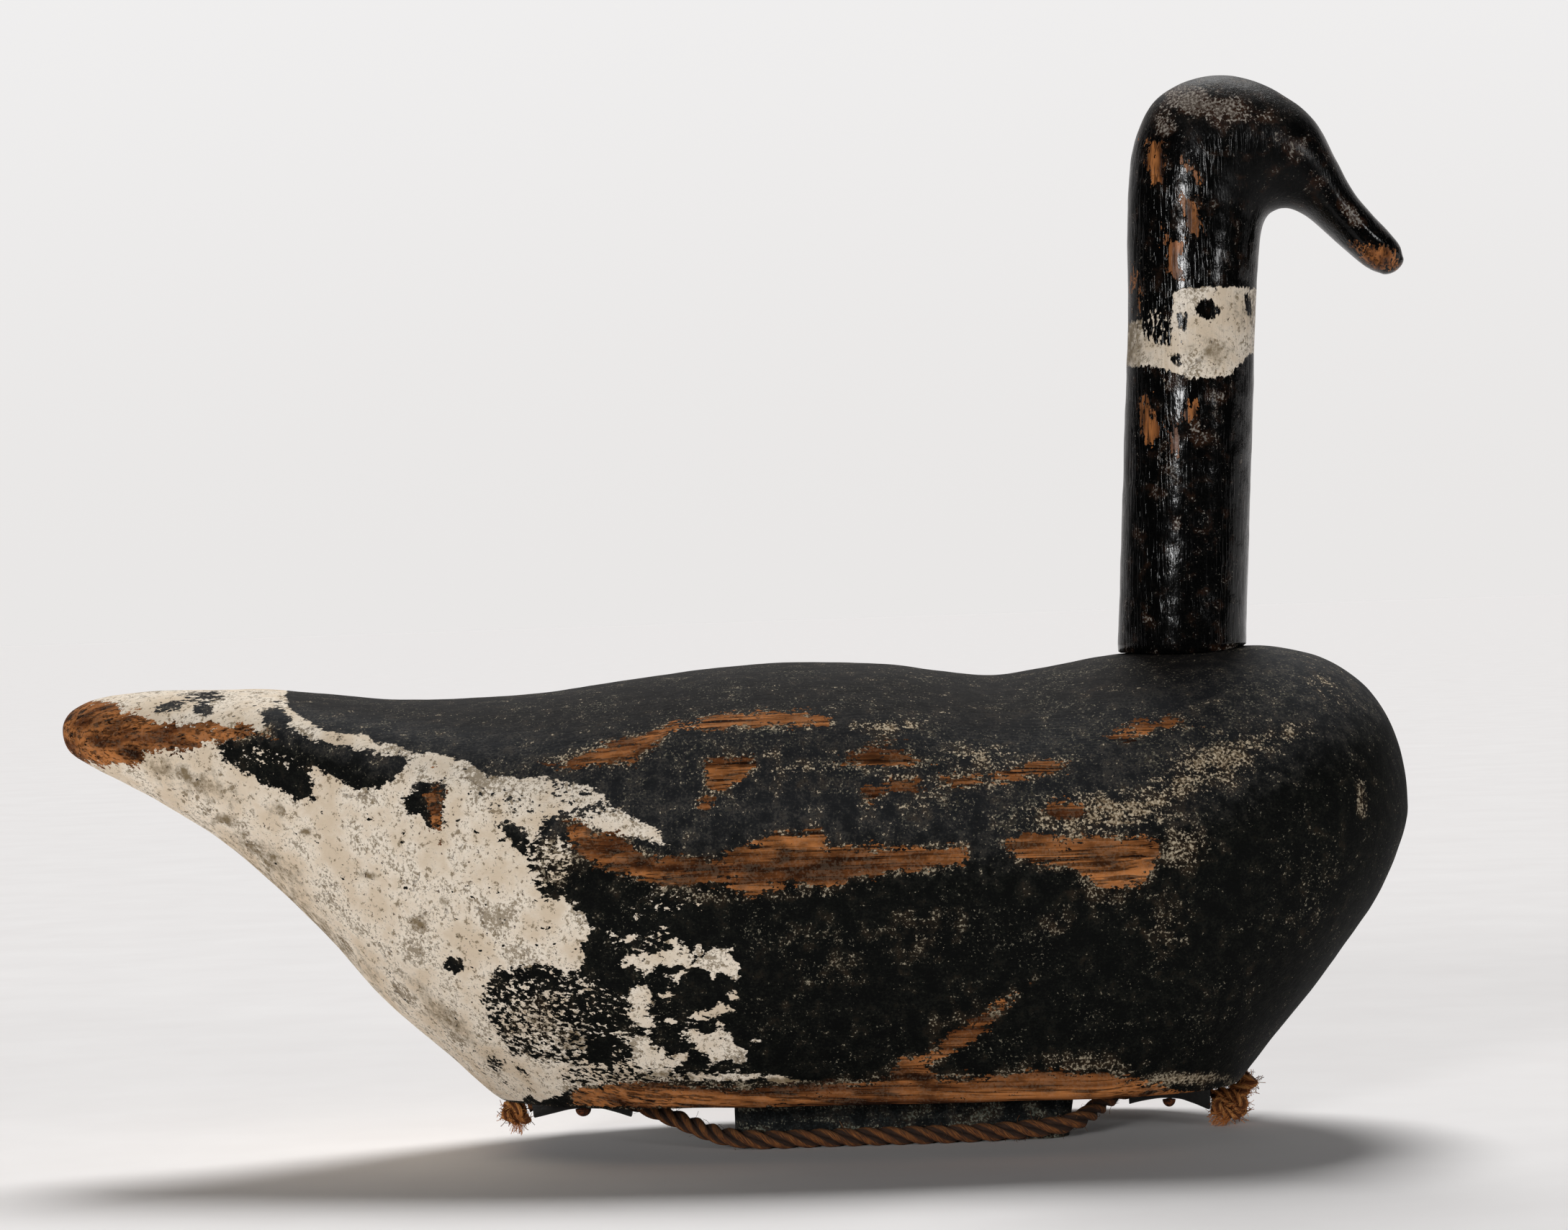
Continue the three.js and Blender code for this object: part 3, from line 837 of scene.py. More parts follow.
@dataclass
class Body:
    """The body block: its outlines as shares of its length against shares of its height."""

    length: float = 609.0
    width: float = 236.0
    height: float = 193.0
    tail_reach: float = 377.0
    sole: float = 24.5
    back_line: Points = (
        (0, 0.892), (0.01, 0.943), (0.0345, 0.968), (0.088, 0.978), (0.143, 0.975), (0.19, 0.961),
        (0.255, 0.939), (0.294, 0.935), (0.353, 0.943), (0.422, 0.966), (0.484, 0.988),
        (0.548, 0.996), (0.609, 0.986), (0.657, 0.963), (0.695, 0.951), (0.736, 0.966),
        (0.79, 0.991), (0.849, 1.001), (0.89, 1.001), (0.931, 0.978), (0.966, 0.917),
        (0.99, 0.813), (0.998, 0.725), (1, 0.625),
    )
    widest_line: Points = (
        (0, 0.892), (0.154, 0.853), (0.274, 0.736), (0.38, 0.597), (0.461, 0.537), (0.568, 0.534),
        (0.703, 0.529), (0.811, 0.535), (0.92, 0.583), (1, 0.625),
    )
    under_line: Points = (
        (0, 0.892), (0.005, 0.842), (0.0213, 0.804), (0.059, 0.741), (0.107, 0.645),
        (0.151, 0.525), (0.194, 0.387), (0.232, 0.247), (0.28, 0.106), (0.318, -0.003),
        (0.373, -0.1), (0.438, -0.166), (0.537, -0.212), (0.619, -0.249), (0.701, -0.288),
        (0.757, -0.302), (0.795, -0.27), (0.828, -0.183), (0.852, -0.088), (0.872, 0.003),
        (0.901, 0.109), (0.9355, 0.241), (0.9675, 0.373), (0.9905, 0.508), (1, 0.625),
    )
    plan_line: Points = (
        (0, 0), (0.006, 0.115), (0.0213, 0.19), (0.059, 0.275), (0.107, 0.36), (0.151, 0.45),
        (0.194, 0.55), (0.241, 0.665), (0.291, 0.772), (0.34, 0.858), (0.399, 0.932),
        (0.471, 0.981), (0.553, 1), (0.652, 1), (0.75, 0.992), (0.816, 0.958), (0.882, 0.868),
        (0.931, 0.742), (0.967, 0.565), (0.99, 0.33), (0.998, 0.17), (1, 0),
    )
    upper_fullness: Points = ((0, 2.2), (0.2, 2.1), (0.45, 2.5), (0.6, 2.5), (0.78, 2), (1, 2.1))
    lower_fullness: float = 2.2
    wing_start: float = 0.37
    wing_end: float = 0.69
    wing_height: float = 0.7
    wing_spread: float = 0.16
    wing_rise: float = 2.2
    breast_start: float = 85.0
    breast_rise: float = 0.27
    steepest_edge: float = 80.0
    sole_crowding: float = 1.7
    relief: tuple = ((34, 0.5, 3.1), (9, 0.14, 11.7))
    rings: int = 430
    section_steps: int = 720
    side_steps: int = 93
    sole_steps: int = 15

    def along(self, share: float | np.ndarray) -> np.ndarray:
        """Turns a share of the length into a place in millimetres."""
        return np.asarray(share) * self.length - self.tail_reach

    def up(self, share: float | np.ndarray) -> np.ndarray:
        """Turns a share of the height into a height in millimetres."""
        return self.sole + np.asarray(share) * self.height

    def share_at(self, x: np.ndarray) -> np.ndarray:
        """Turns places in millimetres into shares of the length."""
        return np.clip((x + self.tail_reach) / self.length, 0, 1)

    def half_section(self, share: float) -> np.ndarray:
        """Makes one side of a section, from the ridge down to the middle of the sole.

        Args:
            share: the section's place as a share of the length.

        Returns:
            Sideways places and heights in millimetres, evenly spaced down the side.
        """
        widest = float(self.up(round_ended(self.widest_line, share)))
        above = float(self.up(round_ended(self.back_line, share))) - widest
        below = widest - float(self.up(round_ended(self.under_line, share)))
        half = float(round_ended(self.plan_line, share)) * self.width / 2
        upper_power = 2 / float(curve_through(self.upper_fullness, share))
        lower_power = 2 / self.lower_fullness
        angles = np.linspace(math.pi / 2, -math.pi / 2, self.section_steps + 1)
        upper = angles >= 0
        power = np.where(upper, upper_power, lower_power)
        out = np.abs(np.cos(angles)) ** power
        lift = signed_power(np.sin(angles), power)
        rise = np.where(upper, self.wing(share, lift), 0)
        side = out * (half + rise)
        height = widest + lift * np.where(upper, above, below) + rise * np.abs(lift) * out
        reached = (widest - self.sole) / below if below > 0 else 1
        deepest_turn = math.asin(min(1, max(0, reached)) ** (1 / lower_power))
        edge_angle = -min(deepest_turn, math.radians(self.steepest_edge))
        run = np.concatenate([[0], np.cumsum(np.hypot(np.diff(side), np.diff(height)))])
        edge = float(np.interp(-edge_angle, -angles, run))
        down = np.linspace(0, edge, self.side_steps + 1)[:-1]
        inward = 1 - (1 - np.linspace(0, 1, self.sole_steps + 1)) ** self.sole_crowding
        flat = edge + (run[-1] - edge) * inward
        at = np.concatenate([down, flat])
        places = np.stack([np.interp(at, run, side), np.interp(at, run, height)], axis=-1)
        places[:, 1] = np.maximum(places[:, 1], self.sole)
        return places

    def wing(self, share: float, lift: np.ndarray) -> np.ndarray:
        """Gives the soft ridge of a folded wing's upper edge.

        Args:
            share: the section's place as a share of the length.
            lift: heights in the section, 1 at the ridge.

        Returns:
            How far it stands out, in millimetres.
        """
        t = (share - self.wing_start) / (self.wing_end - self.wing_start)
        if not 0 < t < 1:
            return np.zeros_like(lift)
        across = (lift - self.wing_height) / self.wing_spread
        return self.wing_rise * math.sin(math.pi * t) * np.exp(-across * across)

    def top_at(self, x: np.ndarray, y: np.ndarray) -> np.ndarray:
        """Gives the height of the back above places in front of the wings.

        Args:
            x: places along the goose.
            y: places across it.

        Returns:
            Heights in millimetres.
        """
        share = self.share_at(np.asarray(x))
        widest = self.up(round_ended(self.widest_line, share))
        above = self.up(round_ended(self.back_line, share)) - widest
        half = np.maximum(round_ended(self.plan_line, share) * self.width / 2, 0.1)
        fullness = curve_through(self.upper_fullness, share)
        inside = np.clip(1 - np.abs(y / half) ** fullness, 0, 1)
        return widest + above * inside ** (1 / fullness)

    def build(self, rope: "Rope") -> Object:
        """Carves the body, planed flat below and with a bed for the rope.

        Args:
            rope: the rope that has bedded into the sole.

        Returns:
            The body's object.
        """
        shares = (1 - np.cos(math.pi * np.arange(1, self.rings) / self.rings)) / 2
        rings = []
        for share in shares:
            half = self.half_section(float(share))
            left = np.column_stack([np.full(len(half), self.along(share)), half])
            right = left[-2:0:-1] * (1, -1, 1)
            rings.append(np.vstack([left, right]))
        around = len(rings[0])
        tips = [
            [float(self.along(end)), 0.0, float(self.up(round_ended(self.back_line, end)))]
            for end in (0.0, 1.0)
        ]
        points = np.vstack([*rings, tips])
        bed = rope.bed_over(points)
        sole = points[:, 2] <= self.sole + 0.01
        points[:, 2] = np.where(sole, np.maximum(points[:, 2], bed), points[:, 2])
        count = len(rings) * around
        faces = skin_faces(len(rings), around, count, count + 1)
        finish = PaintedWood("flaked_paint_on_softwood").material()
        body = make_piece("carved_body", points, faces, finish)
        self.dress(body, points)
        for size, depth, seed in self.relief:
            roughen(body, size, depth, seed)
        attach(body, "root")
        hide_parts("body")
        log.info("body: %d vertices", len(points))
        return body

    def dress(self, body: Object, points: np.ndarray) -> None:
        """Lays out the paint and its wear from the side view.

        Args:
            body: the body's object.
            points: its vertices in millimetres.
        """
        x, z = CAMERA.side_view(points)
        far = smooth_step(points[:, 1], 0, 40)
        x = x + far * (9 * np.sin(z / 17) + 7 * np.sin(x / 31 + 1))
        z = z + far * 5 * np.sin(x / 23)
        coat = Coat(CREAM_COAT, CREAM_ISLANDS, BLACK_CHIPS, MOTTLED, RAGGED_EDGES)
        cream, wander, broken = coat.fields(x, z)
        bare = np.minimum(deepest(BARE_WOOD, x, z), np.where(x < -280, 6, 3.2))
        worn = np.maximum(clouds(WORN_SPOTS, x, z), 0.55 * np.exp(np.minimum(bare, 0) / 4))
        on_sole = points[:, 2] < self.sole + 0.5
        rim = self.sole_rim(points)
        cream = np.where(on_sole, -30, cream)
        bare = np.where(on_sole, 7 - rim * 0.55, bare)
        worn = np.where(on_sole, 0.42, worn)
        worn = np.maximum(worn, 0.16)
        grime = clouds(GRIME, x, z)
        # The last field marks where the black is drawn lighter as painted sheen.
        tag(body, (cream, bare, wander, broken, worn, grime, self.upper(points)))

    def sole_rim(self, points: np.ndarray) -> np.ndarray:
        """Measures the sole from its long edges.

        Args:
            points: vertices in millimetres.

        Returns:
            How far in each place is, in millimetres.
        """
        share = self.share_at(points[:, 0])
        half = round_ended(self.plan_line, share) * self.width / 2 * 0.82
        return np.maximum(half - np.abs(points[:, 1]), 0)

    def upper(self, points: np.ndarray) -> np.ndarray:
        """Tells the back, dull paint with painted sheen, from the flank, which reaches higher in
        front.

        Args:
            points: vertices in millimetres.

        Returns:
            0 on the flank and 1 on the back.
        """
        share = self.share_at(points[:, 0])
        widest = self.up(round_ended(self.widest_line, share))
        top = self.up(round_ended(self.back_line, share))
        breast = self.breast_rise * np.maximum(points[:, 0] - self.breast_start, 0)
        risen = (points[:, 2] - widest - breast) / (top - widest + 1)
        return 0.5 * smooth_step(risen, -0.3, 0.4) + 0.5 * smooth_step(risen, 0.5, 0.95)


CREAM_COAT = Outline((
    (-400, 245), (-275, 235), (-275, 204), (-260, 194), (-240, 190), (-233, 185), (-207, 180),
    (-195, 177), (-184, 169), (-158, 167), (-140, 163), (-127, 153), (-108, 144), (-102, 134),
    (-122, 140), (-138, 143), (-153, 154), (-165, 139), (-162, 114), (-146, 111), (-141, 100),
    (-145, 80), (-153, 77), (-167, 84), (-183, 80), (-189, 67), (-179, 49), (-169, 24),
    (-200, 0), (-420, 80),
))
CREAM_ISLANDS = patches((
    ((-130, 91), (-124, 94), (-121, 94), (-121, 92), (-126, 89)),
    ((-119, 94), (-110, 96), (-108, 99), (-107, 96), (-103, 93), (-95, 93), (-96, 88), (-101, 87),
     (-109, 90), (-118, 91)),
    ((-127, 84), (-123, 87), (-109, 87), (-96, 84), (-93, 81), (-109, 80), (-116, 77), (-118, 79),
     (-125, 81)),
    ((-90, 86), (-81, 89), (-76, 87), (-75, 83), (-71, 80), (-72, 72), (-75, 73), (-80, 77),
     (-86, 75), (-89, 79)),
    ((-96, 88), (-90, 92), (-88, 89), (-90, 85)),
    ((-133, 69), (-124, 71), (-117, 75), (-112, 68), (-114, 64), (-118, 62), (-113, 56), (-113, 51),
     (-122, 53), (-124, 57), (-126, 62), (-133, 65)),
    ((-132, 53), (-124, 52), (-114, 49), (-115, 45), (-110, 43), (-108, 39), (-98, 40), (-98, 38),
     (-103, 35), (-110, 33), (-126, 38), (-131, 46)),
    ((-103, 51), (-94, 52), (-89, 48), (-86, 49), (-83, 54), (-79, 49), (-70, 36), (-74, 35),
     (-79, 38), (-84, 36), (-87, 32), (-89, 34), (-88, 39), (-93, 41)),
    ((-96, 55), (-91, 58), (-86, 59), (-82, 62), (-76, 60), (-82, 59), (-86, 56)),
    ((-100, 31), (-78, 32), (-43, 26), (-52, 24), (-76, 28), (-96, 28)),
    ((-180, 46), (-160, 40), (-140, 36), (-104, 34), (-98, 30), (-130, 28), (-152, 25), (-168, 20)),
), (
    (-106, 67, 2, 1.5), (-105, 55, 1.8, 1.4), (-76, 66, 2.2, 2), (-66, 45, 2, 1),
    (-101, 76, 2, 1.6), (-118, 103, 2.5, 2.5), (-105, 109, 2, 1.5), (-90, 108, 1.5, 3),
    (-143, 73, 3, 1.4),
))
BLACK_CHIPS = patches((
    ((-307, 187), (-284, 193), (-288, 203), (-279, 206), (-273, 199), (-275, 194), (-246, 184),
     (-226, 182), (-221, 177), (-232, 166), (-246, 167), (-265, 175), (-264, 162), (-273, 161),
     (-282, 169), (-305, 182)),
    ((-224, 163), (-217, 166), (-202, 168), (-201, 163), (-206, 155), (-205, 147), (-212, 147),
     (-216, 154), (-222, 153)),
    ((-182, 149), (-174, 150), (-167, 138), (-168, 132), (-174, 138)),
), (
    (-189, 160, 4, 3), (-163, 153, 4, 3), (-144, 153, 5, 4, -20), (-203, 84, 4, 4),
    (-186, 38, 4, 3), (-312, 210, 8, 2), (-313, 205, 4, 3), (-329, 206, 6, 2),
))
MOTTLED = patches(ovals=(
    (-155, 130, 15, 17, 0, -0.5), (-165, 55, 20, 17, 0, 0.0), (-177, 66, 12, 13, 0, -0.5),
    (-160, 70, 20, 10, 0, -0.7), (-135, 66, 11, 9, 0, -1.6), (-133, 31, 34, 6, -3, 0.6),
    (-148, 50, 9, 14, 0, 0.1), (-137, 57, 8, 12, 0, -1.5), (-145, 158, 18, 8, -20, 1.2),
    (-180, 158, 20, 8, -15, 2.0), (-104, 112, 22, 13, 0, -2.0), (-284, 181, 20, 8, -15, -1.6),
    (-128, 43, 7, 8, 0, -1.4),
))
RAGGED_EDGES = patches(ovals=(
    (-130, 95, 62, 75), (-250, 172, 60, 22, -12, 0.75), (-330, 185, 60, 16, 0, 0.6),
    (-190, 60, 34, 40, 0, 0.8),
))
BARE_WOOD = patches((
    ((-358, 209), (-332, 199), (-291, 195), (-282, 192), (-298, 190), (-318, 187), (-340, 186),
     (-343, 180), (-358, 179), (-386, 187), (-386, 215)),
    ((-151, 149), (-141, 147), (-138, 142), (-122, 139), (-113, 131), (-85, 128), (-66, 135),
     (-48, 140), (-34, 140), (-32, 132), (33, 130), (31, 123), (-20, 118), (-29, 114), (-49, 118),
     (-64, 111), (-80, 117), (-108, 117), (-142, 130)),
    ((50, 130), (60, 134), (122, 131), (119, 121), (113, 111), (96, 109), (81, 118), (56, 123)),
    ((-160, 174), (-144, 177), (-129, 183), (-101, 189), (-108, 181), (-118, 173)),
    ((-101, 191), (-61, 194), (-27, 192), (-28, 188), (-98, 188)),
    ((-85, 174), (-65, 174), (-62, 170), (-77, 160), (-84, 160)),
    ((-149, 26), (-129, 28), (-84, 24), (-6, 25), (0, 34), (10, 34), (15, 25), (61, 26), (87, 25),
     (120, 19), (124, 0), (-156, 0)),
), (
    (-86, 155, 3, 3), (-11, 174, 9, 3, 18), (3, 172, 10, 3, -12), (4, 160, 8, 3), (-10, 155, 4, 3),
    (31, 160, 9, 3), (62, 164, 14, 3, 8), (111, 180, 8, 3, 12), (127, 183, 5, 2, 5),
    (79, 145, 9, 3, 5), (27, 44, 20, 3, 35), (-209, 157, 2.5, 9),
))
WORN_SPOTS = patches(ovals=(
    (144, 163, 42, 14, 24, 0.68), (120, 148, 30, 12, 16, 0.62), (92, 143, 54, 12, 3, 0.7),
    (176, 176, 26, 8, 10, 0.5), (213, 146, 4, 12, 0, 0.72), (131, 126, 15, 13, 0, 0.72),
    (74, 94, 14, 10, 0, 0.44), (122, 92, 20, 26, 0, 0.4), (12, 93, 30, 24, 0, 0.38),
    (128, 21, 28, 4, 0, 0.82), (29, 50, 26, 16, 30, 0.46), (-1, 186, 25, 5, 0, 0.66),
    (-155, 129, 16, 15, 0, 0.6), (-165, 57, 20, 17, 0, 0.5), (-61, 112, 66, 5, 0, 0.5),
    (96, 107, 22, 8, 0, 0.55), (81, 29, 39, 8, 0, 0.52), (39, 168, 32, 14, 0, 0.5),
    (198, 196, 24, 10, -40, 0.4), (-50, 168, 70, 26, 0, 0.36), (20, 150, 60, 14, 0, 0.36),
    (190, 100, 30, 50, 0, 0.26), (-30, 80, 60, 30, 0, 0.3),
))
GRIME = patches(ovals=(
    (-275, 113, 72, 7, -44, 0.3), (-322, 174, 34, 7, -24, 0.32), (-288, 137, 32, 6, -44, 0.32),
    (-206, 60, 34, 6, -46, 0.3), (-281, 158, 6, 5, 0, 0.3), (-305, 154, 7, 3, 0, 0.42),
    (-268, 147, 3, 2, 0, 0.5), (-240, 126, 5, 1.6, 0, 0.5), (-206, 113, 3.5, 3, 0, 0.4),
    (-218, 104, 5, 6, 0, 0.4), (-116, 30, 40, 4, 0, 0.35), (-148, 50, 9, 14, 0, 0.34),
    (-166, 58, 22, 18, 0, 0.18), (-55, 125, 95, 12, 0, 0.22), (-108, 127, 40, 12, -20, 0.2),
    (-20, 22, 130, 6, 0, 0.1), (-40, 26.5, 70, 0.7, 0.6, 0.6), (20, 23, 90, 0.8, -0.5, 0.6),
    (70, 27, 36, 0.6, -1, 0.5), (85, 122, 40, 12, 0, 0.16),
))


@dataclass
class HeadAndNeck:
    """The tall neck and head: outline pairs in shares of the head's length and height."""

    neck_diameter: float = 58.0
    neck_height: float = 182.0
    neck_lean: float = 11.5
    neck_place: float = 0.838
    head_length: float = 124.0
    head_height: float = 78.0
    head_thickness: float = 57.0
    seam: float = 0.3
    sections: tuple = (
        ((-0.242, 0.09), (0.245, 0.026), 1),
        ((-0.231, 0.385), (0.261, 0.134), 1),
        ((-0.206, 0.628), (0.281, 0.177), 0.99),
        ((-0.123, 0.863), (0.3, 0.196), 0.98),
        ((0.041, 0.988), (0.318, 0.208), 0.96),
        ((0.226, 0.963), (0.337, 0.212), 0.92),
        ((0.365, 0.841), (0.359, 0.209), 0.86),
        ((0.457, 0.71), (0.385, 0.195), 0.78),
        ((0.522, 0.506), (0.421, 0.159), 0.68),
        ((0.583, 0.313), (0.473, 0.083), 0.59),
        ((0.655, 0.158), (0.538, -0.019), 0.52),
        ((0.716, 0.049), (0.598, -0.106), 0.46),
        ((0.754, -0.036), (0.649, -0.167), 0.37),
        ((0.765, -0.096), (0.69, -0.194), 0.24),
    )
    bill_tip: tuple[float, float] = (0.747, -0.168)
    relief: tuple = ((22, 0.35, 5.3), (7, 0.16, 1.9))
    steps: int = 400
    around: int = 150

    def rails(self, body: Body) -> tuple[np.ndarray, np.ndarray, np.ndarray, np.ndarray]:
        """Gives the crown line, the throat line, the half-thickness and the bill's tip.

        Args:
            body: the body that the neck stands on.

        Returns:
            Points of both lines, half-thicknesses along them and the tip, in millimetres.
        """
        seat = np.array([
            float(body.along(self.neck_place)), 0,
            float(body.up(round_ended(body.back_line, self.neck_place))),
        ])
        top = seat + (self.neck_lean, 0, self.neck_height)
        sunk = self.neck_diameter / 3
        root = seat - (sunk * self.neck_lean / self.neck_height, 0, sunk)
        half = self.neck_diameter / 2
        crown, throat, halves = [], [], []
        for share in (0, 0.12, 0.35, 0.6, 0.85):
            middle = root + (top - root) * share
            crown.append(middle - (half, 0, 0))
            throat.append(middle + (half, 0, 0))
            halves.append(half)
        size = np.array([self.head_length, 0, self.head_height])
        for high, low, thickness in self.sections:
            crown.append(top + size * (high[0], 0, high[1]))
            throat.append(top + size * (low[0], 0, low[1]))
            halves.append(thickness * self.head_thickness / 2)
        widths = np.array([[i, h, 0] for i, h in enumerate(halves)])
        return (
            flowing_curve(np.array(crown), self.steps),
            flowing_curve(np.array(throat), self.steps),
            flowing_curve(widths, self.steps)[:, 1],
            top + size * (self.bill_tip[0], 0, self.bill_tip[1]),
        )

    def build(self, body: Body) -> Object:
        """Carves the neck and head and seats them on the body.

        Args:
            body: the body that the neck stands on.

        Returns:
            The piece's object.
        """
        crown, throat, halves, tip = self.rails(body)
        angles = np.linspace(0, 2 * math.pi, self.around, endpoint=False)
        middle = (crown + throat) / 2
        reach = (crown - throat) / 2
        rings = (
            middle[:, None]
            + reach[:, None] * np.cos(angles)[None, :, None]
            + np.array([0, -1, 0]) * (halves[:, None] * np.sin(angles)[None])[..., None]
        )
        seat = body.top_at(rings[..., 0], rings[..., 1]) + self.seam
        first = int(np.argmax((rings[:, :, 2] > seat + 0.6).all(axis=1)))
        rim = rings[first].copy()
        rim[:, 2] = seat[first]
        centre = rim.mean(axis=0)
        cap = []
        for share in (0.25, 0.5, 0.75, 0.965, 1.0):
            ring = centre + (rim - centre) * share
            ring[:, 2] = body.top_at(ring[:, 0], ring[:, 1]) + self.seam
            if share == 1.0:
                ring[:, 2] += 0.7
            cap.append(ring)
        last = middle[-1]
        nose = [
            last + (tip - last) * h + (rings[-1] - last) * math.sqrt(1 - h) * (1 + 0.27 * h)
            for h in (0.15, 0.3, 0.45, 0.6, 0.75, 0.88, 0.96)
        ]
        body_rings = [*cap, *rings[first:], *nose]
        middle_seat = centre.copy()
        middle_seat[2] = float(body.top_at(centre[0], 0.0)) + self.seam
        points = np.vstack([*body_rings, middle_seat, tip])
        count = len(body_rings) * self.around
        faces = skin_faces(len(body_rings), self.around, count, count + 1)
        finish = PaintedWood(
            "glossy_paint_on_carved_neck", grain=(1.0, 1.0, 0.05), lie=(1.0, 1.0, 0.45),
            flank=("#040404", "#0c0c0b"), side=("#100f0e", "#24211e"), back=("#0d0c0b", "#211c18"),
            haze="#3a2417", dust=("#5c5148", "#aca398"), pepper=("#1c1a18", "#6b675f"), satin=0.0,
            gloss=0.17, peel=0.014, dents=0.09, crown=0.5, swell=0.15, sheltered=-0.03,
        )
        piece = make_piece("carved_head_and_neck", points, faces, finish.material())
        self.dress(piece, points)
        log.info("head and neck: %d vertices", len(points))
        for size, depth, seed in self.relief:
            roughen(piece, size, depth, seed)
        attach(piece, "root")
        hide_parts("head_and_neck")
        return piece

    def dress(self, piece: Object, points: np.ndarray) -> None:
        """Lays out the cream band, the chips and the bare bill tip.

        Args:
            piece: the object.
            points: its vertices in millimetres.
        """
        x, z = CAMERA.side_view(points)
        far = smooth_step(points[:, 1], -4, 22)
        z = z + far * 6 * np.sin(x / 9)
        band = Coat(NECK_BAND, [], BAND_CHIPS, BAND_MOTTLED, BAND_RAGGED)
        cream, wander, broken = band.fields(x, z)
        bare = deepest(NECK_BARE, x, z) - 0.6
        crown = smooth_step(z, 440, 478)
        worn = np.maximum(clouds(NECK_WORN, x, z), 0.2)
        grime = 0.06 + clouds(BAND_GRIME, x, z)
        tag(piece, (cream, bare, wander * 0.6, broken * 0.8, worn, grime, crown))


NECK_BAND = Outline((
    (80, 366), (120, 367), (125, 359), (132, 355), (135, 380), (149, 382), (162, 381),
    (200, 377), (200, 350), (169, 350), (165, 346), (159, 341), (152, 338), (136, 341),
    (126, 345), (80, 349),
))
BAND_CHIPS = patches(ovals=(
    (150, 371, 5, 4, -20), (139, 367, 2, 4), (135, 349, 3, 2, -15), (169, 371, 2, 6),
))
BAND_RAGGED = patches(ovals=(
    (118, 360, 20, 24, 0, 0.8), (150, 340, 30, 7, 0, 0.5),
))
BAND_MOTTLED = patches(ovals=(
    (127, 366, 7, 11, 0, -0.9), (119, 374, 10, 6, 0, -1.6), (130, 337, 8, 6, 0, -1.9),
    (153, 331, 8, 8, 0, -3.2),
))
BAND_GRIME = patches(ovals=(
    (112, 357, 9, 16, 0, 0.34), (152, 352, 8, 8, 30, 0.26), (168, 370, 9, 7, 0, 0.22),
    (184, 428, 24, 17, -15),
))
NECK_BARE = patches((
    ((123, 451), (132, 449), (131, 430), (127, 427), (124, 439)),
    ((141, 439), (145, 438), (150, 430), (148, 427)),
    ((140, 424), (146, 422), (148, 406), (143, 407), (139, 416)),
    ((130, 411), (135, 406), (143, 403), (140, 397), (137, 394), (138, 386), (132, 388)),
    ((118, 335), (124, 334), (125, 324), (128, 317), (123, 310), (118, 315)),
), (
    (228, 393, 11, 6.5, -37), (117, 383, 3, 9), (142, 326, 2, 4, -45), (134, 311, 2, 4),
))
NECK_WORN = patches(ovals=(
    (147, 466, 15, 8, -6, 0.96), (160, 462, 26, 8, -10, 0.72), (134, 457, 8, 13, 0, 0.62),
    (218, 411, 12, 6, -50, 0.6), (189, 445, 16, 8, -30, 0.56), (202, 428, 16, 5, -50, 0.46),
    (143, 414, 9, 22, 0, 0.42), (133, 274, 3, 5, 0, 0.75), (118, 232, 3, 1.5, -20, 0.9),
    (120, 217, 3, 1.5, 0, 0.9), (155, 216, 8, 2, 0, 0.7), (143, 318, 3, 4, 0, 0.9),
    (130, 300, 12, 30, 0, 0.36), (146, 315, 10, 24, 0, 0.4), (133, 337, 10, 8, 0, 0.5),
    (153, 331, 9, 9, 0, 0.5),
))


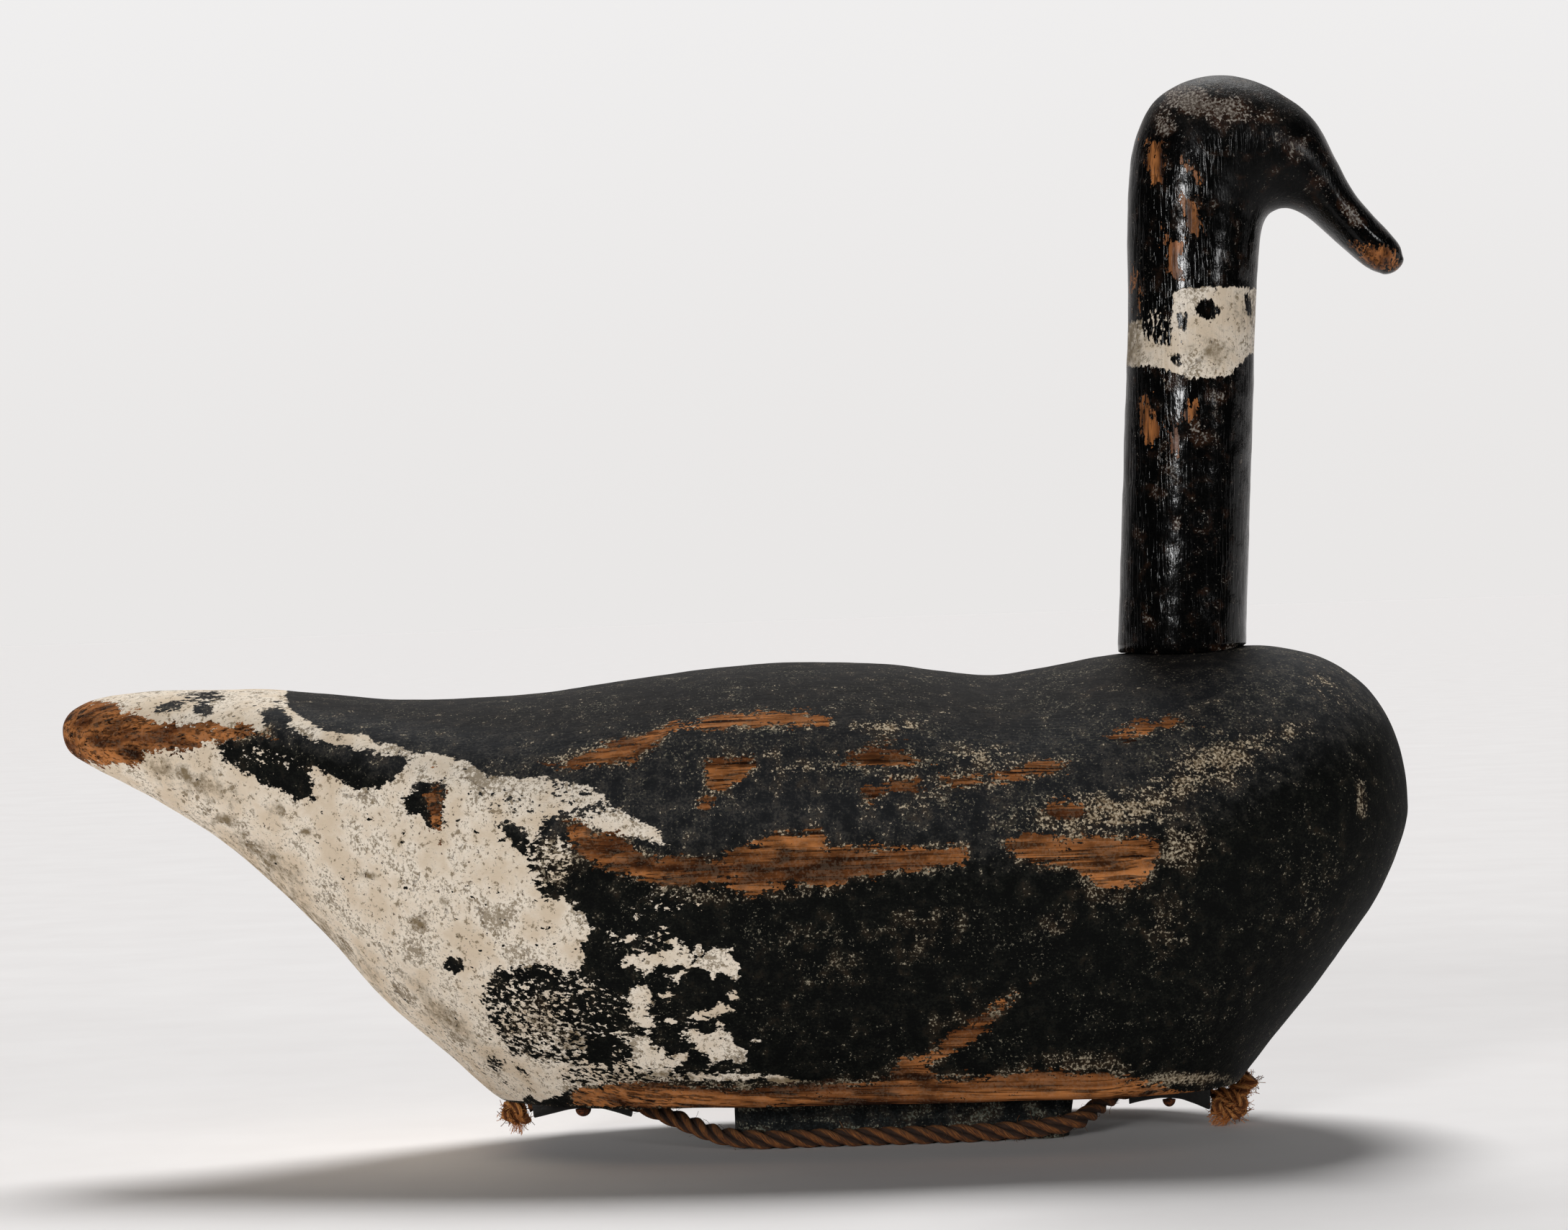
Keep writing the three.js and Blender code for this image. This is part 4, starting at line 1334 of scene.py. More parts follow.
@dataclass
class Keel:
    """The short board that the decoy stands on, with round corners and eased edges."""

    length: float = 154.0
    width: float = 64.0
    height: float = 24.2
    corner: float = 12.0
    edge: float = 1.5
    rake: float = 3.5
    corner_steps: int = 12
    side_steps: int = 40
    end_steps: int = 16
    edge_steps: int = 4
    height_steps: int = 9
    sole_shares: tuple = (0.15, 0.4, 0.65, 0.85)

    def outline(self, inset: float) -> np.ndarray:
        """Gives the board's outline in plan, drawn in by an inset.

        Args:
            inset: how far inside the full outline it runs, in millimetres.

        Returns:
            Points in the plane, counter-clockwise.
        """
        radius = self.corner - inset
        half_x = self.length / 2 - self.corner
        half_y = self.width / 2 - self.corner
        arcs = []
        for sx, sy, start in ((1, 1, 0), (-1, 1, 90), (-1, -1, 180), (1, -1, 270)):
            turn = np.radians(np.linspace(start, start + 90, self.corner_steps + 1))
            arc = (sx * half_x + radius * np.cos(turn), sy * half_y + radius * np.sin(turn))
            arcs.append(np.column_stack(arc))
        points = []
        for i, arc in enumerate(arcs):
            steps = self.side_steps if i % 2 == 0 else self.end_steps
            share = np.linspace(0, 1, steps + 1)[1:-1, None]
            points += [arc, arc[-1] + (arcs[(i + 1) % 4][0] - arc[-1]) * share]
        return np.vstack(points)

    def scuffs(self, points: np.ndarray) -> np.ndarray:
        """Gives broad patches where the board's paint is scuffed grey."""
        at = (points / (15, 15, 8)).tolist()
        return np.clip([noise.noise(Vector(p)) * 0.9 for p in at], 0, 0.4)

    def build(self) -> Object:
        """Makes the board.

        Returns:
            The keel's object.
        """
        lower = [(self.corner * (1 - share) + self.edge * share, 0.0) for share in self.sole_shares]
        for turn in np.radians(np.linspace(90, 0, self.edge_steps + 1)):
            lower.append((self.edge * (1 - math.cos(turn)), self.edge * (1 - math.sin(turn))))
        side = [
            (0.0, self.edge + (self.height - 2 * self.edge) * share)
            for share in np.linspace(0, 1, self.height_steps + 1)[1:-1]
        ]
        levels = [*lower, *side, *((inset, self.height - rise) for inset, rise in lower[::-1])]
        rings = []
        for inset, height in levels:
            plan = self.outline(inset)[::-1]
            rings.append(np.column_stack([plan, np.full(len(plan), height)]))
        around = len(rings[0])
        points = np.vstack([*rings, [[0, 0, 0], [0, 0, self.height]]])
        ahead = np.clip(points[:, 0] / (self.length / 2), 0, 1) ** 4
        points[:, 0] -= self.rake * (1 - points[:, 2] / self.height) * ahead
        count = len(rings) * around
        faces = skin_faces(len(rings), around, count, count + 1)
        finish = PaintedWood(
            "scuffed_paint_on_keel_board", flank=("#0d0f0f", "#2a2f30"),
            dust=("#3d433e", "#757a6e"), satin=0.66,
        )
        keel = make_piece("keel_board", points, faces, finish.material())
        edge = np.minimum(points[:, 2], self.height - points[:, 2])
        ends = np.abs(points[:, 0]) - self.length / 2
        bare = np.where(points[:, 2] < 0.5, -2.5, -6 + 0.2 * ends.clip(-4, 0))
        worn = 0.3 + 0.2 * np.exp(-edge / 3) + self.scuffs(points)
        tag(keel, (-30, bare, 0.3, 0.3, worn, 0, 0))
        roughen(keel, 14, 0.35, 2.2)
        lift_to_floor(keel)
        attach(keel, "root")
        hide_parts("keel")
        log.info("keel: %d vertices", len(points))
        return keel


def lift_to_floor(piece: Object, clearance: float = 0.0) -> None:
    """Keeps every vertex of a piece on or above the floor.

    Args:
        piece: the mesh object.
        clearance: lowest height in millimetres.
    """
    for vertex in piece.data.vertices:
        vertex.co.z = max(vertex.co.z, clearance * MM)
    piece.data.update()


class Twist(Enum):
    """Which way a rope's strands turn."""

    RIGHT = 1
    LEFT = -1


@dataclass(frozen=True)
class Sisal:
    """Twisted sisal: coarse pale-brown leaf fibre.

    Its fibres lie side by side along each strand, so the eye sees fine lines that wind round it,
    drawn dark in the grooves between strands as painted shade, and greyer on faces that look up.
    They are drawn about twice as thick as real ones, which are too fine to show.
    """

    name: str = "twisted_sisal"
    # dark is the deep fibre colour and also the painted shade in the grooves.
    dark: str = "#1a0a02"
    mid: str = "#6c390b"
    light: str = "#9a6431"
    upward_grey: str = "#5a4226"
    fibre: float = 0.45
    blotch: float = 11.0
    winding: float = -240.0

    def material(self) -> Material:
        """Builds the finish from the strands' own coordinates.

        Returns:
            The material.
        """
        material, tree = new_material(self.name)
        along, groove_shade = (
            add(tree, "ShaderNodeAttribute", out="Fac", attribute_name=name)
            for name in ("along", "groove_shade")
        )
        ring = add(tree, "ShaderNodeAttribute", out="Vector", attribute_name="ring")
        turn = {"Vector": ring, "Angle": total(tree, (along, self.winding))}
        wound = add(tree, "ShaderNodeVectorRotate", turn, rotation_type="Z_AXIS")
        length = add(tree, "ShaderNodeCombineXYZ", {"Z": total(tree, (along, 60.0))})
        place = add(tree, "ShaderNodeVectorMath", (wound, length), operation="ADD")
        thin = {"Vector": place, "Scale": 2.6 / self.fibre, "Detail": 3, "Roughness": 0.6}
        lines = add(tree, NOISE, thin)
        fair = add(tree, RANGE, (lines, 0.36, 0.54))
        bright = add(tree, MIX, (fair, self.dark, self.mid))
        fair = add(tree, RANGE, (lines, 0.48, 0.7))
        bright = add(tree, MIX, (fair, bright, self.light))
        # Greyer in blotches on faces that look up.
        normal = add(tree, "ShaderNodeNewGeometry", out="Normal")
        upward = add(tree, "ShaderNodeSeparateXYZ", {"Vector": normal}, out="Z")
        spot = add(tree, "ShaderNodeTexCoord", out="Object")
        blotch = add(tree, NOISE, sized(spot, self.blotch, 3, 0.5))
        grey = total(tree, (upward, 0.9), start=blotch)
        grey = add(tree, RANGE, (grey, 0.6, 1.3, 0.0, 0.3))
        # Painted shade: the grooves between strands are drawn dark.
        sunk = add(tree, RANGE, (groove_shade, 0.13, 0.42, 0.0, 0.88))
        colour = add(tree, MIX, (sunk, add(tree, MIX, (grey, bright, self.upward_grey)), self.dark))
        raised = {"Height": lines, "Strength": 0.9, "Distance": 0.5 * MM}
        bump = add(tree, "ShaderNodeBump", raised)
        close(tree, {"Base Color": colour, "Roughness": 0.82, "Normal": bump})
        return material


def start_shape_tree(name: str, sizes: tuple, seeded: bool = False) -> tuple[Tree, dict]:
    """Starts a geometry node tree.

    Args:
        name: the tree's name.
        sizes: the names of its number inputs.
        seeded: whether it also has a whole number for its seed.

    Returns:
        The tree and the sockets of its inputs.
    """
    tree = bpy.data.node_groups.new(name, "GeometryNodeTree")
    kinds = {"Geometry": "Geometry"} | {size: "Float" for size in sizes}
    if seeded:
        kinds["Seed"] = "Int"
    for title, kind in kinds.items():
        tree.interface.new_socket(title, in_out="INPUT", socket_type=f"NodeSocket{kind}")
    tree.interface.new_socket("Geometry", in_out="OUTPUT", socket_type="NodeSocketGeometry")
    return tree, tree.nodes.new("NodeGroupInput").outputs


def end_shape_tree(tree: Tree, shape: Socket, material: Material) -> Tree:
    """Ends a geometry node tree with real geometry of one finish.

    Args:
        tree: the tree.
        shape: the geometry it has made.
        material: the finish.

    Returns:
        The tree.
    """
    real = add(tree, "GeometryNodeRealizeInstances", (shape,))
    finished = add(tree, "GeometryNodeSetMaterial", {"Geometry": real, "Material": material})
    add(tree, "NodeGroupOutput", (finished,))
    return tree


@dataclass
class StrandTree:
    """A node tree that lays twisted strands along a curve."""

    name: str
    strands: int = 3
    sides: int = 14

    def build(self, material: Material) -> Tree:
        """Makes the tree with inputs for the strand radius, its offset, the lay and the step.

        Args:
            material: the strands' finish.

        Returns:
            The geometry node tree.
        """
        sizes = ("Strand Radius", "Strand Offset", "Lay", "Step")
        tree, given = start_shape_tree(self.name, sizes)
        even = {"Curve": given["Geometry"], "Length": given["Step"]}
        line = add(tree, "GeometryNodeResampleCurve", even, mode="LENGTH")
        run = add(tree, "GeometryNodeSplineParameter", out="Length")
        marked = self.mark(tree, line, "along", run, "FLOAT")
        turns = add(tree, MATH, (run, given["Lay"]), operation="DIVIDE")
        angle = add(tree, MATH, (turns, 2 * math.pi), operation="MULTIPLY")
        twisted = add(tree, "GeometryNodeSetCurveTilt", {"Curve": marked, "Tilt": angle})
        sweep = {"Curve": twisted, "Profile Curve": self.profile(tree, given), "Fill Caps": True}
        swept = add(tree, "GeometryNodeCurveToMesh", sweep)
        smooth = add(tree, "GeometryNodeSetShadeSmooth", {"Geometry": swept})
        return end_shape_tree(tree, smooth, material)

    def mark(self, tree: Tree, shape: Socket, name: str, value: Socket, kind: str) -> Socket:
        """Stores a value at each point of a shape.

        Args:
            tree: the tree.
            shape: the geometry.
            name: what the value is stored as.
            value: the value's socket.
            kind: its data type.

        Returns:
            The geometry with the value.
        """
        inputs = {"Geometry": shape, "Name": name, "Value": value}
        return add(tree, "GeometryNodeStoreNamedAttribute", inputs, data_type=kind)

    def profile(self, tree: Tree, given: dict) -> Socket:
        """Makes the section of the rope: one ring for each strand.

        Args:
            tree: the tree.
            given: the group's inputs.

        Returns:
            The joined rings.
        """
        rings = []
        for k in range(self.strands):
            size = {"Resolution": self.sides, "Radius": given["Strand Radius"]}
            circle = add(tree, "GeometryNodeCurvePrimitiveCircle", size)
            spot = add(tree, "GeometryNodeInputPosition")
            unit = add(tree, "ShaderNodeVectorMath", (spot,), operation="NORMALIZE")
            far = add(tree, "ShaderNodeVectorMath", (unit, (0, 0, 7.0 * k)), operation="ADD")
            ring = self.mark(tree, circle, "ring", far, "FLOAT_VECTOR")
            angle = 2 * math.pi * k / self.strands
            out = (math.cos(angle), math.sin(angle), 0)
            facing = add(
                tree, "ShaderNodeVectorMath", (unit, out), out="Value", operation="DOT_PRODUCT"
            )
            # How far round towards the groove between strands each point lies, which the sisal
            # finish draws as painted shade.
            sunk = total(tree, (facing, -0.5), start=0.5)
            ring = self.mark(tree, ring, "groove_shade", sunk, "FLOAT")
            aim = {0: out, "Scale": given["Strand Offset"]}
            aim = add(tree, "ShaderNodeVectorMath", aim, operation="SCALE")
            moved = {"Geometry": ring, "Translation": aim}
            rings.append(add(tree, "GeometryNodeTransform", moved))
        join = tree.nodes.new("GeometryNodeJoinGeometry")
        for ring in rings:
            tree.links.new(ring, join.inputs["Geometry"])
        return join.outputs["Geometry"]


@dataclass
class BristleTree:
    """A node tree that stands bent fibres on a surface, by shares of their set length."""

    name: str
    knee: float = 0.55
    shortest: float = 0.45
    longest: float = 1.15

    def build(self, material: Material) -> Tree:
        """Makes the tree with inputs for the number, size, spread and seed of the fibres.

        Args:
            material: the fibres' finish.

        Returns:
            The geometry node tree.
        """
        sizes = ("Density", "Length", "Radius", "Spread", "Bend")
        tree, given = start_shape_tree(self.name, sizes, seeded=True)
        where = {"Mesh": given["Geometry"], "Density": given["Density"], "Seed": given["Seed"]}
        spots = add(tree, "GeometryNodeDistributePointsOnFaces", where).node.outputs
        bend = add(tree, "ShaderNodeCombineXYZ", {"X": given["Bend"], "Z": given["Length"]})
        half = add(tree, MATH, (given["Length"], self.knee), operation="MULTIPLY")
        middle = add(tree, "ShaderNodeCombineXYZ", {"Z": half})
        arc = {"Resolution": 5, "Start": (0, 0, 0), "Middle": middle, "End": bend}
        hair = add(tree, "GeometryNodeCurveQuadraticBezier", arc)
        thin = {"Resolution": 3, "Radius": given["Radius"]}
        section = add(tree, "GeometryNodeCurvePrimitiveCircle", thin)
        sweep = {"Curve": hair, "Profile Curve": section, "Fill Caps": True}
        fibre = add(tree, "GeometryNodeCurveToMesh", sweep)
        spread, seed = given["Spread"], given["Seed"]
        low = add(tree, MATH, (spread, -1.0), operation="MULTIPLY")
        least = add(tree, "ShaderNodeCombineXYZ", (low, low, -math.pi))
        most = add(tree, "ShaderNodeCombineXYZ", (spread, spread, math.pi))
        lean = {0: least, 1: most, "Seed": seed}
        lean = add(tree, "FunctionNodeRandomValue", lean, data_type="FLOAT_VECTOR")
        turn = add(tree, "FunctionNodeEulerToRotation", (lean,))
        both = {"Rotation": spots["Rotation"], "Rotate By": turn}
        turned = add(tree, "FunctionNodeRotateRotation", both, rotation_space="LOCAL")
        size = {2: self.shortest, 3: self.longest, "Seed": seed}
        size = add(tree, "FunctionNodeRandomValue", size, out=1, data_type="FLOAT")
        stand = {"Points": spots["Points"], "Instance": fibre, "Rotation": turned, "Scale": size}
        stood = add(tree, "GeometryNodeInstanceOnPoints", stand)
        return end_shape_tree(tree, stood, material)


def grow(source: Object, tree: Tree, name: str, **values: float) -> Object:
    """Runs a geometry node tree on an object and keeps the result as a plain mesh.

    Args:
        source: the object to run it on, which is removed.
        tree: the tree.
        name: the new piece's name.
        **values: the tree's inputs, with underscores for blanks.

    Returns:
        The new object.
    """
    modifier = source.modifiers.new(tree.name, "NODES")
    modifier.node_group = tree
    sockets = {s.name: s.identifier for s in tree.interface.items_tree if s.in_out == "INPUT"}
    for key, value in values.items():
        modifier[sockets[key.replace("_", " ").title()]] = value
    graph = bpy.context.evaluated_depsgraph_get()
    graph.update()
    mesh = bpy.data.meshes.new_from_object(source.evaluated_get(graph))
    source.modifiers.remove(modifier)
    bpy.data.objects.remove(source)
    mesh.name = name
    mesh.polygons.foreach_set("use_smooth", [True] * len(mesh.polygons))
    return show(name, mesh)


def guide(name: str, points: np.ndarray, closed: bool = False) -> Object:
    """Makes a curve object through points in metres.

    Args:
        name: its name.
        points: one point in each row.
        closed: whether the curve closes on itself.

    Returns:
        The curve's object.
    """
    data = bpy.data.curves.new(name, "CURVE")
    data.dimensions = "3D"
    spline = data.splines.new("POLY")
    spline.points.add(len(points) - 1)
    spline.points.foreach_set("co", np.column_stack([points, np.ones(len(points))]).ravel())
    spline.use_cyclic_u = closed
    return show(name, data)


@dataclass(frozen=True)
class Yarn:
    """Strands twisted about each other, with loose fibres on them; sizes in metres."""

    strand: float
    offset: float
    lay: float
    step: float
    density: float
    length: float
    fibre: float
    spread: float
    bend: float
    seed: int

    def spin(self, names: tuple[str, str], line: Object, trees: tuple[Tree, Tree]) -> list:
        """Twists the strands along a line and frays them.

        Args:
            names: what the strands and their fibres are called.
            line: the curve that they follow.
            trees: the trees that make strands and fibres.

        Returns:
            The strands and their fibres.
        """
        strands = grow(
            line, trees[0], names[0], strand_radius=self.strand, strand_offset=self.offset,
            lay=self.lay, step=self.step,
        )
        fibres = grow(
            show("strand_copy", strands.data.copy()), trees[1], names[1], density=self.density,
            length=self.length, radius=self.fibre, spread=self.spread, bend=self.bend,
            seed=self.seed,
        )
        return [strands, fibres]


@dataclass
class Rope:
    """The rope under the belly, by the points of its middle line in metres."""

    diameter: float = 0.0085
    length: float = 0.3472
    lay: float = 0.031
    twist: Twist = Twist.RIGHT
    gap: float = 0.0003
    strand_share: float = 0.49
    route: tuple = (
        (-0.17108, 0, 0.01962), (-0.16492, 0, 0.02088), (-0.1592, 0, 0.02215),
        (-0.15216, 0, 0.02358), (-0.14512, 0, 0.02405), (-0.13808, 0, 0.02358),
        (-0.13104, 0, 0.02184), (-0.124, 0, 0.01938), (-0.11507, -0.00297, 0.0161),
        (-0.106, -0.00817, 0.0128), (-0.09702, -0.0156, 0.00979), (-0.08899, -0.0234, 0.0073),
        (-0.081, -0.03121, 0.0057), (-0.07161, -0.03641, 0.00488), (-0.06199, -0.03752, 0.0044),
        (-0.04389, -0.03715, 0.0044), (-0.02202, -0.03752, 0.0044), (0, -0.03789, 0.0044),
        (0.02387, -0.03752, 0.0044), (0.04389, -0.03715, 0.0048), (0.05798, -0.03752, 0.00567),
        (0.06699, -0.03789, 0.00662), (0.07469, -0.03566, 0.00781), (0.08083, -0.02935, 0.0096),
        (0.08524, -0.02118, 0.01145), (0.0898, -0.01263, 0.0134), (0.09485, -0.0052, 0.01534),
        (0.1025, 0, 0.01756), (0.10907, 0, 0.0189), (0.1171, 0, 0.01977),
        (0.12513, 0, 0.01922), (0.13207, 0, 0.01708), (0.1394, 0, 0.0138),
    )

    def path(self) -> np.ndarray:
        """Gives the smooth middle line in metres."""
        return flowing_curve(np.array(self.route), 400)

    def course(self, axis: int, x: np.ndarray) -> tuple[np.ndarray, np.ndarray]:
        """Reads the middle line from the points of its route.

        Args:
            axis: 1 for its place across the goose, or 2 for its height.
            x: places along the goose in millimetres.

        Returns:
            That measure there in millimetres, and its slope.
        """
        points = tuple(map(tuple, (np.array(self.route) / MM)[:, (0, axis)]))
        slope = (curve_through(points, x + 1) - curve_through(points, x - 1)) / 2
        return curve_through(points, x), slope

    def bed_over(self, points: np.ndarray) -> np.ndarray:
        """Gives the height of the bed that the rope has pressed into the sole.

        Args:
            points: places in millimetres, one in each row.

        Returns:
            The bed's height at each place, or 0 away from the rope.
        """
        line = self.path() / MM
        radius = self.diameter / 2 / MM + self.gap / MM
        middle = np.interp(points[:, 0], line[:, 0], line[:, 2])
        side = np.interp(points[:, 0], line[:, 0], line[:, 1])
        across = np.clip(radius**2 - (points[:, 1] - side) ** 2, 0, None)
        inside = (across > 0) & (points[:, 0] > line[0, 0]) & (points[:, 0] < line[-1, 0])
        return np.where(inside, middle + np.sqrt(across) + 0.2, 0)

    def build(self, tree: Tree, bristles: Tree) -> list:
        """Lays the rope's strands along its route, with loose fibres on them.

        Args:
            tree: the tree that makes twisted strands.
            bristles: the tree that stands fibres on a surface.

        Returns:
            The rope and its fibres.
        """
        path = self.path()
        radius = self.diameter / 2
        strand = radius * self.strand_share
        yarn = Yarn(
            strand, radius - strand, self.lay * self.twist.value, step=0.0011, density=30000.0,
            length=0.0034, fibre=0.00009, spread=1.15, bend=0.0016, seed=4,
        )
        names = ("sisal_rope", "rope_fibres")
        rope, fibres = yarn.spin(names, guide("rope_line", path), (tree, bristles))
        for piece in (rope, fibres):
            lift_to_floor(piece, 0.1)
            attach(piece, "root")
        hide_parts("rope")
        log.info("rope: %.1f mm long", 1000 * np.linalg.norm(np.diff(path, axis=0), axis=1).sum())
        return [rope, fibres]


@dataclass
class Knot:
    """A stopper knot of the rope with frayed fibres, by its middle and size in millimetres."""

    name: str
    node: str
    middle: tuple[float, float, float]
    size: tuple[float, float, float]
    rope_radius: float
    fibre_length: float
    tufts: tuple = ()
    stub: tuple = ()
    stub_radius: float = 4.4

    def twine(self, part: str, line: np.ndarray, radius: float, trees: tuple) -> list:
        """Twists one run of the knot's rope and frays it.

        Args:
            part: what the run is called.
            line: its middle line in metres.
            radius: the rope's radius in millimetres.
            trees: the trees that make strands and fibres.

        Returns:
            The strands and their fibres.
        """
        strand = radius * MM * 0.5
        length = self.fibre_length * MM
        yarn = Yarn(
            strand, strand, lay=0.016, step=0.0009, density=300000.0, length=length,
            fibre=0.00016, spread=1.25, bend=length * 0.75, seed=7,
        )
        names = (f"{self.name}_{part}", f"{self.name}_{part}_fuzz")
        return yarn.spin(names, guide(self.name + "_line", line, closed=part == "turns"), trees)

    def build(self, tree: Tree, bristles: Tree) -> list:
        """Ties the knot and frays it.

        Args:
            tree: the tree that makes twisted strands.
            bristles: the tree that stands fibres on a surface.

        Returns:
            The knot and its fibres.
        """
        t = np.linspace(0, 2 * math.pi, 240, endpoint=False)
        reach = np.array(self.size) / 2 - self.rope_radius
        turns = np.column_stack([
            np.sin(3 * t),
            (2 + np.cos(3 * t)) / 3 * np.cos(2 * t),
            (2 + np.cos(3 * t)) / 3 * np.sin(2 * t),
        ])
        line = (np.array(self.middle) + turns * reach) * MM
        pieces = self.twine("turns", line, self.rope_radius, (tree, bristles))
        if self.stub:
            end = flowing_curve(np.array(self.stub) * MM, 8)
            pieces += self.twine("stub", end, self.stub_radius, (tree, bristles))
        for i, tuft in enumerate(self.tufts):
            pieces.append(tuft.build(f"{self.name}_tuft_{i + 1}", bristles, i))
        for piece in pieces:
            lift_to_floor(piece, 0.1)
            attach(piece, "root")
        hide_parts(self.node)
        log.info("%s: %d pieces", self.name, len(pieces))
        return pieces


@dataclass(frozen=True)
class Tuft:
    """A frayed rope end: fibres that fan out of a small root, in millimetres."""

    root: tuple[float, float, float]
    aim: tuple[float, float, float]
    radius: float
    length: float
    spread: float
    count: int

    def build(self, name: str, bristles: Tree, seed: int) -> Object:
        """Grows the fibres.

        Args:
            name: the piece's name.
            bristles: the tree that stands fibres on a surface.
            seed: which of its scatterings to take.

        Returns:
            The tuft's object.
        """
        aim = Vector(self.aim).normalized()
        side = aim.orthogonal().normalized()
        across = aim.cross(side)
        ring = [
            Vector(self.root) + self.radius * (math.cos(a) * side + math.sin(a) * across)
            for a in np.linspace(0, 2 * math.pi, 12, endpoint=False)
        ]
        disc = make_piece(
            "tuft_root", np.array(ring), [tuple(range(12))], bpy.data.materials[Sisal().name]
        )
        area = math.pi * (self.radius * MM) ** 2
        return grow(
            disc, bristles, name, density=self.count / area, length=self.length * MM,
            radius=0.00014, spread=self.spread, bend=self.length * 0.2 * MM, seed=seed + 1,
        )


@dataclass(frozen=True)
class Leather:
    """Blackened harness leather, dry and creased, so its dull face is broken by fine cracks."""

    name: str = "dry_black_leather"
    dark: str = "#0c0c0c"
    light: str = "#262421"
    crease: float = 2.2

    def material(self) -> Material:
        """Builds the finish.

        Returns:
            The material.
        """
        material, tree = new_material(self.name)
        place = add(tree, "ShaderNodeTexCoord", out="Object")
        colour = add(tree, MIX, (add(tree, NOISE, sized(place, 5, 5, 0.5)), self.dark, self.light))
        cells = {"Vector": place, "Scale": per_metre(self.crease)}
        creases = add(tree, "ShaderNodeTexVoronoi", cells, feature="DISTANCE_TO_EDGE")
        raised = {"Height": creases, "Strength": 0.8, "Distance": 0.4 * MM}
        normal = add(tree, "ShaderNodeBump", raised)
        close(tree, {"Base Color": colour, "Roughness": 0.66, "Normal": normal})
        return material


@dataclass(frozen=True)
class RustyIron:
    """Forged nail iron under brown rust: mostly dull oxide, with a little metal showing."""

    name: str = "rusty_nail_iron"
    dark: str = "#2c1a12"
    rust: str = "#8a4a24"

    def material(self) -> Material:
        """Builds the finish.

        Returns:
            The material.
        """
        material, tree = new_material(self.name)
        place = add(tree, "ShaderNodeTexCoord", out="Object")
        scale = add(tree, NOISE, sized(place, 1.4, 4, 0.7))
        colour = add(tree, MIX, (add(tree, RANGE, (scale, 0.4, 0.6)), self.dark, self.rust))
        raised = {"Height": scale, "Strength": 0.7, "Distance": 0.4 * MM}
        normal = add(tree, "ShaderNodeBump", raised)
        finish = {"Base Color": colour, "Roughness": 0.72, "Metallic": 0.35, "Normal": normal}
        close(tree, finish)
        return material


@dataclass
class Strap:
    """A leather strap draped over the rope, by its ends along the goose in millimetres."""

    name: str
    node: str
    rear: float
    front: float
    span: float
    nail_head: float
    thickness: float = 2.0
    slack: float = 0.4
    arch_slack: float = 2.0
    corner_curl: float = 1.5
    top: float = 24.2
    rows: int = 26
    arch_steps: int = 44
    wing_steps: int = 16

    def arch_depth(self, x: np.ndarray, rope: Rope) -> np.ndarray:
        """Gives how far the strap hangs below the sole to pass under the rope.

        Args:
            x: places along the goose in millimetres.
            rope: the rope it holds.

        Returns:
            Depths in millimetres.
        """
        here, slope = rope.course(2, x)
        return self.top - here + rope.diameter / 2 / MM * np.hypot(1, slope) + self.slack

    def face(self, offset: float, rope: Rope) -> np.ndarray:
        """Lays out one face of the strap.

        Args:
            offset: distance of the face from the upper one, in millimetres.
            rope: the rope it holds.

        Returns:
            Rows of points.
        """
        rows = []
        for row in range(self.rows + 1):
            share = row / self.rows
            x = self.rear + (self.front - self.rear) * share
            depth = float(self.arch_depth(np.array(x), rope)) + offset
            side, slope = (float(value) for value in rope.course(1, np.array(x)))
            half = rope.diameter / 2 / MM * math.hypot(1, slope) + self.arch_slack + offset
            curl = self.corner_curl * (2 * share - 1) ** 2
            out = 1 - np.arange(self.wing_steps) / self.wing_steps
            angle = np.linspace(0, math.pi, self.arch_steps + 1)
            across = side - signed_power(np.cos(angle), 2 / 3) * half
            hang = offset + (depth - offset) * signed_power(np.sin(angle), 2 / 3)
            droop = offset + curl * out * out
            low = side - half + (-self.span / 2 - side + half) * out
            high = (side + half + (self.span / 2 - side - half) * out)[::-1]
            y = np.concatenate([low, across, high])
            z = self.top - np.concatenate([droop, hang, droop[::-1]])
            wander = 0.5 * math.sin(7.1 * share + self.rear) * np.sin(y / 6)
            rows.append(np.column_stack([np.full(len(y), x) + wander, y, z]))
        return np.array(rows)

    def build(self, rope: Rope, material: Material) -> Object:
        """Makes the strap as one closed sheet with eased edges.

        Args:
            rope: the rope it holds.
            material: the leather.

        Returns:
            The strap's object.
        """
        upper, lower = self.face(0, rope), self.face(self.thickness, rope)
        rows, columns = upper.shape[:2]
        number = np.arange(2 * rows * columns).reshape(2, rows, columns)
        faces = []
        for side, flip in ((0, False), (1, True)):
            n = number[side]
            quads = np.stack([n[:-1, :-1], n[1:, :-1], n[1:, 1:], n[:-1, 1:]], axis=-1)
            faces.append((quads[..., ::-1] if flip else quads).reshape(-1, 4))
        rim = np.concatenate([
            number[:, 0, :-1].T, number[:, :-1, -1].T,
            number[:, -1, :0:-1].T, number[:, :0:-1, 0].T,
        ])
        after = np.roll(rim, -1, axis=0)
        faces.append(np.column_stack([rim[:, 0], after[:, 0], after[:, 1], rim[:, 1]]))
        points = np.vstack([upper.reshape(-1, 3), lower.reshape(-1, 3)])
        piece = make_piece(self.name, points, np.vstack(faces).tolist(), material)
        bevel = piece.modifiers.new("eased_edge", "BEVEL")
        bevel.width = 0.35 * MM
        bevel.segments = 2
        bevel.limit_method = "ANGLE"
        bevel.angle_limit = math.radians(50)
        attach(piece, "root")
        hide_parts(self.node)
        log.info("%s: %d vertices", self.name, len(points))
        return piece

    def nail_point(self, rope: Rope) -> tuple[float, float, float]:
        """Gives where the nail comes out of the strap.

        Args:
            rope: the rope it holds.

        Returns:
            The place in metres.
        """
        middle = (self.rear + self.front) / 2
        depth = float(self.arch_depth(np.array(middle), rope))
        return middle * MM, 0.0, (self.top - depth - self.thickness - 0.3) * MM


